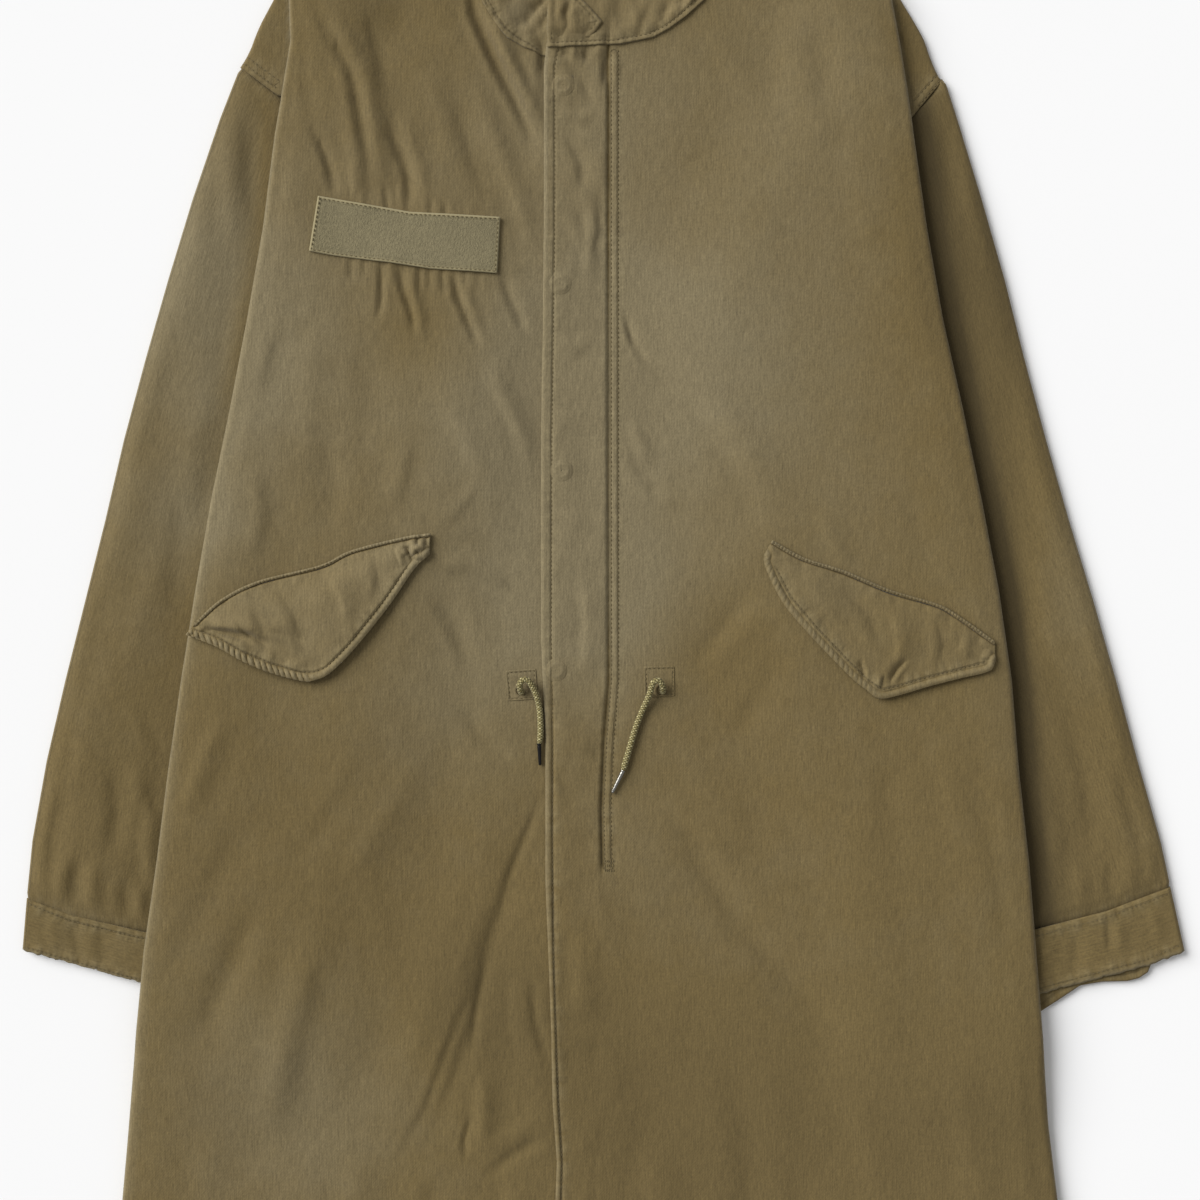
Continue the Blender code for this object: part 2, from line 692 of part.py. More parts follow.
def laid_patch(name, top, low, rows, columns, thickness, ground, material, collection, puff=0.0):
    """Cloth between an upper and a lower edge, laid on what is below it."""
    grid = []
    for v in np.linspace(0.0, 1.0, rows):
        row = []
        for u in np.linspace(0.0, 1.0, columns):
            x, y = along(top, u) * (1.0 - v) + along(low, u) * v
            swell = puff * math.sin(math.pi * u) ** 0.7 * float(smooth(v * 2.2)) * (1.0 - 0.45 * v ** 4)
            row.append((x, y, ground.top(x, y, 7.0) + SEAM_GAP + thickness / 2 + swell))
        grid.append(row)
    return wall(name, grid, thickness, material, collection)


def cord_patch(name, key, ground, material, collection, cutters):
    """Square of cloth with the round hole that the waist cord comes out of."""
    spec = CORD_PATCHES[key]
    turn = math.radians(spec["turn"])
    grid = []
    for v in (0.5, 0.0, -0.5):
        row = []
        for u in (-0.5, 0.0, 0.5):
            x = spec["middle"][0] + PATCH_SIDE * (u * math.cos(turn) - v * math.sin(turn))
            y = spec["middle"][1] + PATCH_SIDE * (u * math.sin(turn) + v * math.cos(turn))
            row.append((x, y, ground.top(x, y, 2.0) + SEAM_GAP + PATCH_CLOTH / 2))
        grid.append(row)
    patch = wall(name, grid, PATCH_CLOTH, material, collection)
    mesh = bpy.data.meshes.new(name + "_hole")
    drill = bmesh.new()
    bmesh.ops.create_cone(drill, cap_ends=True, segments=16, radius1=CORD_HOLE / 2 * MM,
                          radius2=CORD_HOLE / 2 * MM, depth=30.0 * MM)
    drill.to_mesh(mesh)
    drill.free()
    cutter = bpy.data.objects.new(name + "_hole", mesh)
    cutter.location = (spec["hole"][0] * MM, spec["hole"][1] * MM, 10.0 * MM)
    cutter.hide_render = True
    cutter.display_type = "WIRE"
    cutters.objects.link(cutter)
    cut = patch.modifiers.new("hole", "BOOLEAN")
    cut.operation = "DIFFERENCE"
    cut.object = cutter
    return patch


def cord_line(key, front_ground, ground):
    """Middle line of a free end of the waist cord."""
    hole = CORD_PATCHES[key]["hole"]
    front_top = front_ground.top(*hole, 2.0)
    points = []
    for x, y, height in CORD_ROUTES[key]:
        if height is LIES:
            points.append((x, y, ground.top(x, y, CORD / 2) + SEAM_GAP + CORD / 2))
        else:
            points.append((x, y, front_top + height))
    return smooth_curve(points, CORD_POINTS)


def drawcord(name, line, material, collection):
    curve = bpy.data.curves.new(name, "CURVE")
    curve.dimensions = "3D"
    curve.bevel_depth = CORD / 2 * MM
    curve.bevel_resolution = 2
    curve.use_fill_caps = True
    spline = curve.splines.new("POLY")
    spline.points.add(len(line) - 1)
    for point, place in zip(spline.points, line):
        point.co = (*(place * MM), 1.0)
    return add_object(name, curve, material, collection)


def aglet(name, key, line, ground, material, collection):
    """Metal tip, a slim cone from the cord's end to its own."""
    tip_x, tip_y, diameter = AGLETS[key]
    tip = Vector((tip_x, tip_y, ground.top(tip_x, tip_y, diameter) + SEAM_GAP + diameter / 2))
    cord_end = Vector(line[-1])
    way = (tip - cord_end).normalized()
    start = cord_end + way * 4.0 * SEAM_GAP
    mesh = bpy.data.meshes.new(name)
    cone = bmesh.new()
    bmesh.ops.create_cone(cone, cap_ends=True, segments=12, radius1=diameter / 2 * MM,
                          radius2=diameter * 0.38 * MM, depth=(tip - start).length * MM)
    cone.to_mesh(mesh)
    cone.free()
    item = add_object(name, mesh, material, collection)
    item.location = (start + tip) / 2 * MM
    item.rotation_mode = "QUATERNION"
    item.rotation_quaternion = way.to_track_quat("Z", "Y")
    mesh.shade_smooth()
    return item


def snap_cap(name, place, ground, material, collection):
    """Low round cap of one of the fly's snaps."""
    x, y = place
    mesh = bpy.data.meshes.new(name)
    disc = bmesh.new()
    bmesh.ops.create_cone(disc, cap_ends=True, segments=20, radius1=SNAP_DIAMETER / 2 * MM,
                          radius2=(SNAP_DIAMETER / 2 - 0.7) * MM, depth=SNAP_HEIGHT * MM)
    disc.to_mesh(mesh)
    disc.free()
    item = add_object(name, mesh, material, collection)
    bottom = ground.top(x, y, SNAP_DIAMETER / 2) + SEAM_GAP
    item.location = Vector((x, y, bottom + SNAP_HEIGHT / 2)) * MM
    return item


# ---------------------------------------------------------------- start

def main():
    clear_scene()
    parka = new_collection("military_parka")
    cutters = new_collection("cutters")
    cloth = new_material("parka_cloth", OLIVE)
    tape_cloth = new_material("hook_and_loop_tape", OLIVE_PALE, 0.95)
    cord_cloth = new_material("braided_cord", CORD_OLIVE, 0.85)
    cap_paint = new_material("snap_paint", SNAP_OLIVE, 0.6, 0.2)
    black = new_material("black_aglet", AGLET_BLACK, 0.4, 0.3)
    steel = new_material("steel_aglet", AGLET_STEEL, 0.3, 1.0)

    fronts = {key: front_panel("front_" + key, key, cloth, parka) for key in SIDES}
    back_panel(cloth, parka)
    for key in SIDES:
        sleeve("sleeve_" + key, key, cloth, parka)
        cuff("cuff_" + key, key, cloth, parka)
    cuff_tab(cloth, parka)

    collar_front("collar_right", "right", cloth, parka)
    collar_left = collar_front("collar_left", "left", cloth, parka)
    collar_back(cloth, parka)
    throat_tab(Ground([collar_left]), cloth, parka)

    ground = Ground(fronts.values())
    laid_patch("name_tape", TAPE_TOP, TAPE_LOW, 5, 11, TAPE, ground, tape_cloth, parka)
    for key, flap in FLAPS.items():
        laid_patch("pocket_flap_" + key, flap["seam"], flap["free"], 8, 15, FLAP_CLOTH, ground, cloth,
                   parka, flap["puff"])
    for number, place in enumerate(SNAPS, 1):
        snap_cap(f"snap_{number}", place, ground, cap_paint, parka)

    for key, metal in (("right", black), ("left", steel)):
        patch = cord_patch("cord_patch_" + key, key, ground, cloth, parka, cutters)
        below = Ground([*fronts.values(), patch])
        line = cord_line(key, ground, below)
        drawcord("drawcord_" + key, line, cord_cloth, parka)
        aglet("aglet_" + key, key, line, ground, metal, parka)


main()
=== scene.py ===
"""Looks of a military parka that lies flat on a table, front up, with its sleeves tucked behind the body.

Sizes in the tables are in millimetres on the page: across (the wearer's left is positive) and height
(the collar is positive), with the origin at the middle of the parka, on the table. Right and left are the
wearer's. The file is laid out as a Blender add-on and is run as a script.
"""

import math

import bpy
import numpy as np
from bpy.props import FloatProperty, FloatVectorProperty, PointerProperty
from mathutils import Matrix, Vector
from mathutils.bvhtree import BVHTree
from numpy.linalg import norm


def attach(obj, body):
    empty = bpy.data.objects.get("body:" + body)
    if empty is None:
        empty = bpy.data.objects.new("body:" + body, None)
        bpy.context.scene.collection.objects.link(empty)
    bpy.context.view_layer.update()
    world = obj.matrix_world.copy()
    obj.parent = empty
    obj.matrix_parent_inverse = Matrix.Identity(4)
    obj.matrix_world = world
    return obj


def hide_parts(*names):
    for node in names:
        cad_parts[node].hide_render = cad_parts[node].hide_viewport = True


bl_info = {
    "name": "Military parka",
    "version": (1, 0, 0),
    "blender": (4, 5, 0),
    "location": "View3D > Sidebar > Parka",
    "description": "Dresses the packed parts of a flat-lying parka in creased twill, thread and cord",
    "category": "Object",
}

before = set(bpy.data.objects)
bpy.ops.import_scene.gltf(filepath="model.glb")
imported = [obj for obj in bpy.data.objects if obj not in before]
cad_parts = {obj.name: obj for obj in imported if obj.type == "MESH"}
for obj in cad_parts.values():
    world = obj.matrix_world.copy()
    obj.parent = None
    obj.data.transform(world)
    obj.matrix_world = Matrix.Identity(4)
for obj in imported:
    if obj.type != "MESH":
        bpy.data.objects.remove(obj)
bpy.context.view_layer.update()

MM = 0.001
FAR = 80.0  # stands for no seam near
SEAM_REACH = 22.0  # how far a seam is felt
DEEPEST = 5.4  # how far folds can sink

# ---- the parka's own sizes, as in its source

CLOTH = 1.2
COLLAR_CLOTH = 2.0
CUFF_CLOTH = 1.6
FLAP_CLOTH = 2.2
TAPE = 1.6
SEAM_GAP = 0.3
AIR = 2.8
RETURN_WIDTH = 26.0
SHOULDER_ROLL = 10.0
FLY_RISE = 2.4
FLY_WIDTH = 46.0
RIGHT_FRONT_EDGE = -18.0
NECK_SIDE_Y = 441.0
BACK_NECK_DIP = 9.0
COLLAR_HEIGHT = 76.8
COLLAR_RETURN = 8.0
COLLAR_Z = 5.2
COLLAR_LAP = 2.7
UNDER_LAP = 1.3

# How far the collar's sewn edge laps over the fronts: across, down the page.
NECK_LAPS = {
    "right": [(-90, 2.0), (-82, 3.5), (-70, 4.9), (-58, 6.3), (-50, 8.0), (-43, 11.0)],
    "left": [(-40, 4.0), (10, 4.2), (33, 4.6), (67, 3.0), (90, 1.0)],
}
PATCH_SIDE = 21.0
HOLE_RADIUS = 3.5
FLOOR_Z = CLOTH / 2
SLEEVE_TOP_Z = FLOOR_Z + CLOTH + AIR
FRONT_Z = FLOOR_Z + CLOTH + AIR
OVER_SLEEVE = SLEEVE_TOP_Z + CLOTH / 2 + SEAM_GAP
BARTACK_Y = -231.0

# Thickness of the shells that stand for the thicker cloth.
CUFF_SHELL = 1.4
FLAP_SHELL = 1.6
PATCH_SHELL = 0.6

# Distance between rows of points.
FRONT_PITCH = 3.7
BACK_PITCH = 7.0
COLLAR_PITCH = 2.2
THREAD_PITCH = 6.0

THREAD_SIDES = 6
CUFF_LENGTH = 36.0
SNAP_RING = 4.4  # radius of the low ring round a snap's flat middle

STATIONS = [441, 420, 399, 378, 367, 359, 354, 349, 346, 330, 309, 288, 262, 232, 196, 156, 116, 76, 36, -4,
            -44, -84, -124, -164, -204, -244, -284, -324, -364, -404, -444, -482, -518]

# Side fold that shows as the body's edge: height, right side, left side.
FOLD = [(441, -130, 117), (420, -176, 157), (399, -207, 188), (378, -219, 200), (346, -218, 206),
        (315, -223, 211), (280, -229, 216), (217, -237, 225), (154, -248, 236), (91, -260, 250),
        (28, -273, 263), (-35, -284, 275), (-98, -294, 284), (-161, -303, 289), (-224, -311, 296),
        (-287, -320, 301), (-350, -326, 306), (-406, -331, 310), (-462, -336, 317), (-518, -341, 321)]

# Neckline of each front: height, across.
NECK_RIGHT = [(346, RIGHT_FRONT_EDGE), (349, -55), (354, -67), (359, -72), (367, -78), (378, -85),
              (399, -93), (420, -99), (441, -104)]
NECK_LEFT = [(346, -39), (349, 12), (354, 35), (359, 45), (367, 57), (378, 70), (399, 77), (420, 83),
             (441, 89)]

# Fly's free edge below the neck: height, across.
FLY_EDGE = [(-518, -34), (-462, -33), (-433, -32), (-391, -35), (-340, -36), (-286, -38), (-238, -40),
            (-139, -40), (-70, -43), (70, -43), (224, -41), (329, -41), (346, -39)]

# How dark the painted shadow is in the step at the fly's inner edge: height, share.
STEP_SHADE = [(-231, 0), (-226, 1.1), (-120, 0.9), (-60, 0.5), (0, 0.35), (100, 0.3), (200, 0.6), (346, 0.9)]

SIDES = {
    "right": dict(
        side=-1, fold_column=1, armhole_station=309, neck=NECK_RIGHT,
        shoulder=[(330, -254), (350, -245), (378, -230), (399, -212), (420, -181), (441, -132)],
        armhole=[(-254, 330), (-226, 309), (-204, 280), (-163, 217), (-128, 147)],
        back_edge=[(309, -180), (330, -206), (349, -226)],
        sleeve=[(-254, 330), (-268, 294), (-287, 238), (-304, 182), (-320, 126), (-335, 70), (-348, 14),
                (-362, -42), (-376, -98), (-389, -154), (-399, -210), (-403, -250)],
        cuff_seam=[(-403, -250), (-371, -262), (-319, -274), (-265, -288)],
        cuff_low=[(-406, -286), (-365, -297), (-323, -309), (-267, -324)],
    ),
    "left": dict(
        side=1, fold_column=2, armhole_station=288, neck=NECK_LEFT,
        shoulder=[(322, 237), (350, 224), (378, 207), (399, 191), (420, 162), (441, 119)],
        armhole=[(238, 322), (215, 295), (194, 266), (155, 203), (127, 140)],
        back_edge=[(288, 166), (309, 182), (322, 194), (349, 206)],
        sleeve=[(238, 322), (247, 294), (264, 238), (280, 182), (294, 126), (309, 70), (325, 14),
                (342, -42), (358, -98), (373, -154), (389, -210), (396, -242)],
        cuff_seam=[(396, -242), (351, -259), (301, -272), (253, -287)],
        cuff_low=[(406, -287), (380, -297), (345, -306), (303, -317), (251, -332)],
    ),
}

# Large soft folds of the fronts: from x, y to x, y, half width, height. They follow those of the solids, and are
# softer than them at the lower right.
BODY_FOLDS = [
    (-204, 352, -186, 240, 13, -1.8), (-190, 372, -166, 236, 12, 2.4), (-150, 376, -134, 226, 13, -1.6),
    (-98, 380, -46, 258, 14, -2), (-78, 372, -38, 290, 12, 1.8), (-44, -191, -126, -431, 15, -0.9),
    (-70, -180, -150, -420, 18, 1.5), (-48, -300, -40, -430, 13, 1.6), (-238, -250, -282, -352, 18, -1.4),
    (-205, -282, -236, -420, 18, 1), (-246, -195, -310, -324, 18, -1.2), (24, 126, 112, 0, 16, -1.4),
    (104, -28, 60, -92, 16, -0.9), (46, -190, 168, -346, 20, -1.4), (60, -176, 190, -330, 20, 1.6),
    (138, 372, 150, 270, 15, 1.4),
]

# Chest tape's upper and lower edge.
TAPE_TOP = [(-198, 238), (-163, 232), (-134, 227), (-72, 224)]
TAPE_LOW = [(-204, 200), (-187, 197), (-147, 192), (-121, 188), (-74, 185)]

# Pocket flaps: the sewn and the free edge, how far the flap puffs up, how strongly its hem is roped at shares of
# the free edge, knots of bunched cloth (x, y, reach, height), and the painted light that makes it paler and brighter.
FLAPS = {
    "right": dict(
        seam=[(-283, -58), (-265, -42), (-239, -29), (-196, -18), (-175, -8), (-140, 1), (-120, 4)],
        free=[(-289, -66), (-268, -74), (-250, -84), (-231, -92), (-208, -98), (-199, -97), (-189, -92),
              (-173, -76), (-149, -46), (-132, -21), (-121, -10)],
        puff=4, roped=[(0, 0.9), (0.40, 1), (0.46, 0.15), (1, 0.1)],
        knots=[(-129, -6, 9, 1.7), (-284, -63, 7, 0.9)], lit=0.10, shade=1.08,
    ),
    "left": dict(
        seam=[(117, -1), (139, -13), (167, -22), (198, -35), (231, -45), (247, -54), (271, -71)],
        free=[(112, -10), (112, -18), (124, -43), (143, -66), (170, -94), (182, -104), (191, -110),
              (204, -108), (224, -102), (247, -96), (267, -91), (271, -84)],
        puff=2.4, roped=[(0, 0.20), (0.1, 0.35), (0.22, 0.2), (0.4, 0.4), (0.58, 0.3), (0.62, 0.1), (1, 0.15)],
        knots=[(116, -8, 4, 0.6), (266, -80, 5, 0.6)], lit=0, shade=1,
    ),
}

# Throat tab's right edge (height, across), where its straight left edge is, and its creases, given like those of the
# fronts.
THROAT_TAB = [(349.6, -9.4), (354, -5), (360, -1), (369, -9), (378, -18), (388, -28), (397, -36)]
THROAT_TAB_LEFT = -38.6
TAB_CREASES = [
    (2, -1.1, -22, 377, -27, 366, -25, 357, -29, 349), (1.7, -0.9, -33, 380, -34.5, 365, -33, 351),
    (2.2, 0.7, -18, 374, -22, 364, -20, 354),
]

# What shows of the tab below the left cuff.
CUFF_TAB_TOP = [(276, -300), (320, -286), (373, -277)]
CUFF_TAB_LOW = [(278, -334), (290, -336), (304, -330), (318, -321), (333, -311), (348, -308.5), (366, -308),
                (374, -306), (380, -302), (382, -297)]

# Square patches of the waist cord: middle, turn in degrees, and the cord's hole.
CORD_PATCHES = {
    "right": dict(middle=(-57, -101), turn=4, hole=(-57.2, -105.2)),
    "left": dict(middle=(38.8, -98.6), turn=1.5, hole=(40.6, -104.8)),
}

# Waist cord's routes from the hole to the tip: x, y, height above the front, or LIES where the cord rests on what
# is below it.
LIES = None
CORD_ROUTES = {
    "right": [(-57, -106.3, 1.6), (-57.5, -104.9, 3.7), (-58.2, -102.6, 5.6), (-57.8, -99.4, 6.9),
              (-55.2, -97.2, 7.4), (-52.2, -98.2, 7.1), (-49.8, -101.4, 6.2), (-47.8, -105.4, 5.2),
              (-46, -110.4, 4.2), (-44.9, -115.6, LIES), (-44.2, -121, LIES), (-43.9, -127, LIES),
              (-43.8, -133, LIES), (-44.1, -138, LIES), (-44.8, -143.2, LIES)],
    "left": [(41.1, -106, 1.6), (41.3, -104.6, 3.7), (41, -102.4, 5.6), (39.8, -99.4, 6.9),
             (37.2, -97.8, 7.4), (34.5, -99.4, 7.1), (33.2, -103.2, 6.2), (31.9, -107.6, 5.1),
             (30, -112.4, 4), (26.8, -119.4, LIES), (22.6, -130.2, LIES), (19, -142, LIES),
             (16.1, -151.9, LIES), (13.1, -161.8, LIES)],
}
# Points of the cord's tips: x, y, diameter. Then the middles of the snaps.
AGLETS = {"right": (-44.2, -157.1, 2.4), "left": (5.9, -176.4, 2.6)}
SNAPS = [(-28, 316), (-30, 178), (-29, 48), (-33, -91)]

# ---- creases

# Sharp creases of the fronts: half width, height (a trough is below zero), then x, y of each point along it.
FRONT_CREASES = [
    # from the right shoulder down to the tape
    (5, -0.5, -214, 366, -208, 319, -202, 284), (4.4, -0.95, -208, 378, -190, 351, -176, 326, -170, 293, -159, 230),
    (5, 0.6, -199, 378, -180, 346, -164, 318, -160, 286, -151, 240), (5, -0.6, -167, 376, -158, 342, -150, 310),
    (3.6, -0.95, -152, 296, -147, 280, -137, 257, -134, 226),
    (4.4, 0.45, -142, 304, -134, 276, -126, 248, -123, 232), (6, 0.35, -124, 330, -112, 290, -104, 250),
    (4, -2.6, -96, 396, -90, 366, -74, 330, -60, 304, -45, 268),
    (3, 0.7, -92, 392, -80, 356, -66, 330, -54, 306, -42, 284), (3, -0.9, -44, 352, -43, 340, -42.6, 322),
    (4, 0.6, -58, 344, -50, 328, -44, 306), (5, 1.2, -84, 366, -70, 340, -54, 306, -44, 284),
    (6.5, 0.8, -92, 320, -74, 274, -60, 239, -44, 188), (6, -0.7, -106, 312, -90, 262, -76, 230),
    # gathers at the tape's upper edge, then at its lower edge
    (3, -0.8, -206, 291, -194, 268, -185, 236), (1.6, -0.35, -171, 246, -171, 228),
    (3, 0.5, -177, 262, -172, 246, -168, 226), (2, -0.5, -153, 247, -149, 224), (2.2, 0.35, -141, 250, -141, 222),
    (1.7, -0.4, -121, 239, -120, 220), (1.7, -0.45, -111, 234, -110, 220), (1.6, -0.2, -98, 232, -97, 218),
    (2.2, -0.35, -176, 200, -176, 176), (1.7, -0.35, -166, 199, -167, 182),
    (2.2, -0.75, -155, 199, -155, 168, -157, 150), (1.8, 0.35, -149, 198, -147, 178),
    (2.6, -0.8, -143, 196, -140.6, 175, -134, 158, -129, 140), (3.4, 0.45, -135, 194, -130, 160, -124, 132),
    (1.8, -0.5, -128.5, 194, -129, 168), (1.6, -0.3, -122, 193, -121, 172), (1.8, -0.5, -113.4, 192, -111, 168),
    (2.6, -0.9, -107, 191, -102, 168, -92, 146, -84, 130), (3, 0.45, -100, 191, -92, 158, -82, 138),
    (1.8, -0.5, -98.7, 191, -94.5, 170), (1.6, -0.25, -89, 190, -86, 176),
    (3.2, -0.7, -74, 190, -65, 166, -52, 140), (5.5, 0.8, -84, 128, -62, 84, -46, 46),
    (7.5, 0.7, -124, 124, -96, 72, -74, 24), (9, 0.6, -196, 168, -206, 96, -204, 40),
    (9, -0.6, -168, 150, -164, 88, -170, 40), (7, -0.6, -222, 150, -234, 92),
    # round the right pocket
    (4, 0.25, -118, 8, -96, 26, -84, 44), (5, 0.7, -120, -16, -92, -18, -64, -34),
    (6, -0.9, -124, -34, -104, -60, -92, -94), (6, 0.5, -150, 16, -140, 44, -138, 74),
    (7, -0.5, -190, 0, -186, 34, -196, 70), (6, 0.6, -246, -20, -238, 18, -244, 58),
    # lower right
    (5, -0.4, -44, -191, -59, -222, -82, -286, -88, -328, -106, -380, -131, -431),
    (7, 0.35, -54, -180, -72, -222, -96, -286, -104, -330, -122, -382, -146, -430),
    (2.6, -0.35, -40, -170, -54, -204, -66, -232, -74, -262), (2.6, -0.35, -80, -284, -90, -330, -92, -366),
    (3, -0.3, -84, -300, -104, -340, -124, -396, -150, -440), (2.2, -0.5, -92, -400, -98, -420, -96, -436),
    (3.6, -0.45, -51, -300, -48, -334, -41, -360, -36, -376), (5, 0.4, -62, -296, -60, -336, -52, -366),
    (6, 0.9, -84, -366, -84, -430), (3.6, -0.5, -36, -412, -65, -429, -86, -447),
    (5.5, 0.4, -38, -400, -68, -416, -92, -430), (9, -0.8, -238, -250, -264, -310, -287, -356),
    (9, 0.7, -226, -244, -250, -304, -270, -356), (9, 0.8, -205, -276, -221, -349, -238, -424),
    (9, -0.6, -190, -280, -206, -350, -222, -420), (9, -0.7, -246, -190, -291, -277, -314, -328),
    (9, 0.7, -122, -140, -156, -200, -190, -250), (9, -0.6, -150, -130, -186, -190, -224, -236),
    (6, -0.7, -100, -112, -84, -140, -60, -156), (6, 0.8, -262, -116, -280, -160, -292, -196),
    (10, 0.8, -268, -400, -278, -450, -284, -500), (10, 0.9, -170, -420, -176, -470, -172, -512),
    (9, -0.9, -112, -440, -128, -480, -134, -514), (8, 0.8, -60, -440, -66, -480, -62, -514),
    (9, -0.8, -226, -434, -236, -476, -238, -514),
    # left front, softer
    (2.6, -0.7, 13, 160, 20, 138, 34, 116), (3, -0.4, 28, 124, 42, 110, 54, 98),
    (8, -0.8, 22, 126, 60, 94, 88, 52, 113, 3), (9, 0.7, 30, 134, 70, 104, 100, 60, 122, 14),
    (4.5, -0.8, 16, 60, 30, 42, 42, 22), (4, 0.6, 20, 46, 36, 30, 54, 20), (4, 0.6, 16, 84, 26, 66, 30, 48),
    (6, -0.4, 105, -30, 84, -58, 60, -90), (6.5, 0.3, 114, -40, 92, -68, 70, -98),
    (8, -0.6, 126, -70, 108, -110, 84, -150), (8.5, -0.9, 44, -190, 92, -265, 128, -306, 167, -345),
    (9, 0.8, 58, -188, 106, -258, 184, -340), (5, 0.6, 40, -176, 70, -206, 96, -226),
    (6, 0.5, 48, -166, 84, -184, 112, -196), (9, 0.7, 124, 374, 130, 330, 132, 290),
    (9, -0.7, 146, 372, 152, 320, 150, 280), (8, 0.6, 66, 366, 92, 330, 108, 300),
    (10, 0.5, 168, 300, 180, 240, 184, 180), (9, -0.5, 210, 40, 222, -8, 226, -34),
    (6, 0.6, 150, 20, 160, -4, 172, -18), (10, 0.7, 230, -120, 244, -180, 250, -240),
    (9, -0.7, 260, -160, 274, -230, 280, -300), (10, -0.6, 200, -130, 196, -190, 206, -250),
    (11, 0.8, 160, -360, 186, -420, 200, -500), (11, -0.8, 80, -340, 100, -420, 104, -500),
    (11, 0.8, 240, -340, 254, -420, 262, -500), (9, 0.8, 28, -420, 40, -470, 38, -512),
    (9, -0.8, 130, -430, 140, -480, 138, -514), (7, -0.7, 294, -330, 302, -410, 308, -490),
    (9, 0.3, 0, -330, 10, -400, 6, -460),
    # on the fly, small cross creases
    (2.2, -0.6, -30, 344, -27, 335), (2.2, 0.5, -22, 344, -20, 333), (2.4, -0.7, -12, 345, -13, 332),
    (2, 0.5, -4, 345, -3, 335), (2, -0.5, -34, 342, -22, 336), (2.6, -0.7, 2, 344, 1, 318),
    (3, -0.6, -22, 342, -8, 332, 4, 322), (3.4, -0.5, -30, 332, -16, 320, -6, 304),
    (3, -0.6, -6, 344, 0, 330, 1, 312), (4, -0.5, -26, 282, -16, 262, -14, 240),
    (3.4, -0.5, -4, 236, -2, 214, -8, 196), (4, 0.5, -30, 224, -14, 206, -4, 200),
    (3.6, 0.5, -34, 300, -18, 292, -2, 296), (4, 0.5, -36, 140, -20, 132, -6, 138),
    (4, 0.5, -34, 20, -18, 12, -4, 4), (4.5, 0.6, -38, -130, -22, -140, -4, -150),
    (4.5, -0.5, -36, -160, -24, -176, -6, -184), (5, 0.5, -12, 250, -8, 210, -12, 170),
    (5, 0.5, -14, -20, -10, -60, -14, -100), (7, 0.2, -20, -250, -14, -300, -20, -350),
]

# Creases of the sleeves, in the same way.
SLEEVE_CREASES = {
    "right": [
        (7, -2, -250, 306, -247, 262, -243, 217), (7, 1.6, -262, 290, -262, 240, -258, 196),
        (8, 1.6, -246, 190, -256, 140, -262, 96), (10, 1.4, -276, 232, -286, 180, -298, 130),
        (9, -1.4, -290, 150, -306, 100, -318, 40), (9, 1.6, -272, 116, -288, 60, -294, 10),
        (9, 1.5, -318, 70, -330, 20, -346, -30), (8, -1.6, -292, 40, -300, -14, -298, -60),
        (9, 1.5, -306, 0, -322, -50, -332, -96), (8, -1.4, -346, -20, -356, -70, -368, -120),
        (4.2, -1.7, -326, -122, -315, -138, -304, -154), (5, 1.2, -336, -112, -322, -130, -312, -140),
        (4.2, -1.6, -324, -168, -315, -181, -306, -194), (5, 1.1, -332, -158, -322, -172, -312, -182),
        (9, 1.5, -356, -96, -362, -140, -368, -184), (7, -1.5, -342, -150, -340, -190, -344, -226),
        (6, 1.4, -312, -180, -318, -214, -316, -250), (6, -1.2, -376, -170, -384, -206, -388, -240),
        (4.5, -1.4, -367, -216, -369, -240, -370, -260), (4, 1.1, -378, -222, -380, -242, -381, -256),
        (4.2, 1.2, -356, -222, -357, -246, -357, -264), (4, -1.3, -335, -234, -335, -250, -334, -268),
        (3.6, 1.2, -325, -240, -324, -256, -323, -271), (4, -1.2, -304, -240, -302, -258, -300, -276),
        (4.5, 1.2, -290, -232, -286, -256, -283, -281), (6, -1, -270, 60, -280, 30, -284, 2),
    ],
    "left": [
        (7, -1.8, 236, 300, 240, 256, 246, 214), (8, 1.6, 250, 276, 262, 226, 272, 180),
        (8, -1.8, 242, 196, 252, 140, 264, 90), (8, -1.2, 268, 210, 284, 150, 294, 100),
        (8, 1.7, 256, 130, 270, 76, 282, 20), (9, 1.5, 286, 100, 304, 40, 320, -20),
        (8, -1.9, 280, 20, 292, -40, 300, -96), (9, -1.2, 300, 20, 318, -40, 334, -100),
        (8, 1.7, 296, -50, 308, -110, 320, -166), (8, 1.3, 336, -50, 352, -110, 368, -170),
        (8, -1.6, 322, -110, 336, -170, 344, -226), (7, 1.5, 302, -150, 312, -200, 318, -240),
        (6, -1.2, 356, -150, 370, -200, 380, -236), (5, -1.4, 300, -200, 300, -236, 302, -268),
        (4.5, 1.3, 288, -220, 288, -246, 289, -272), (4, 1.1, 330, -226, 332, -246, 334, -262),
        (4, -1.2, 350, -224, 353, -242, 355, -256), (4, 1, 364, -222, 367, -238, 370, -250),
        (4.5, -1.3, 276, -230, 274, -256, 272, -280), (4, -0.9, 384, -214, 388, -230, 391, -243),
    ],
}

CUFF_CREASES = [
    (2.6, -1, 350, -262, 352, -276, 353, -290), (4, 0.8, 360, -262, 360, -278, 362, -292),
    (5, 0.8, 310, -276, 306, -296, 302, -314), (4, -0.8, 290, -282, 284, -304, 280, -320),
    (5, -0.7, 330, -272, 330, -290, 326, -308), (4, 0.8, 380, -252, 386, -270, 388, -286),
    (5, 0.8, -386, -258, -384, -276, -382, -290), (6, -0.8, -350, -270, -350, -288, -346, -300),
    (5, 0.8, -316, -278, -314, -296, -312, -312), (5, -0.8, -290, -284, -288, -304, -286, -318),
    (4, -0.6, -372, -264, -368, -282, -366, -296),
]

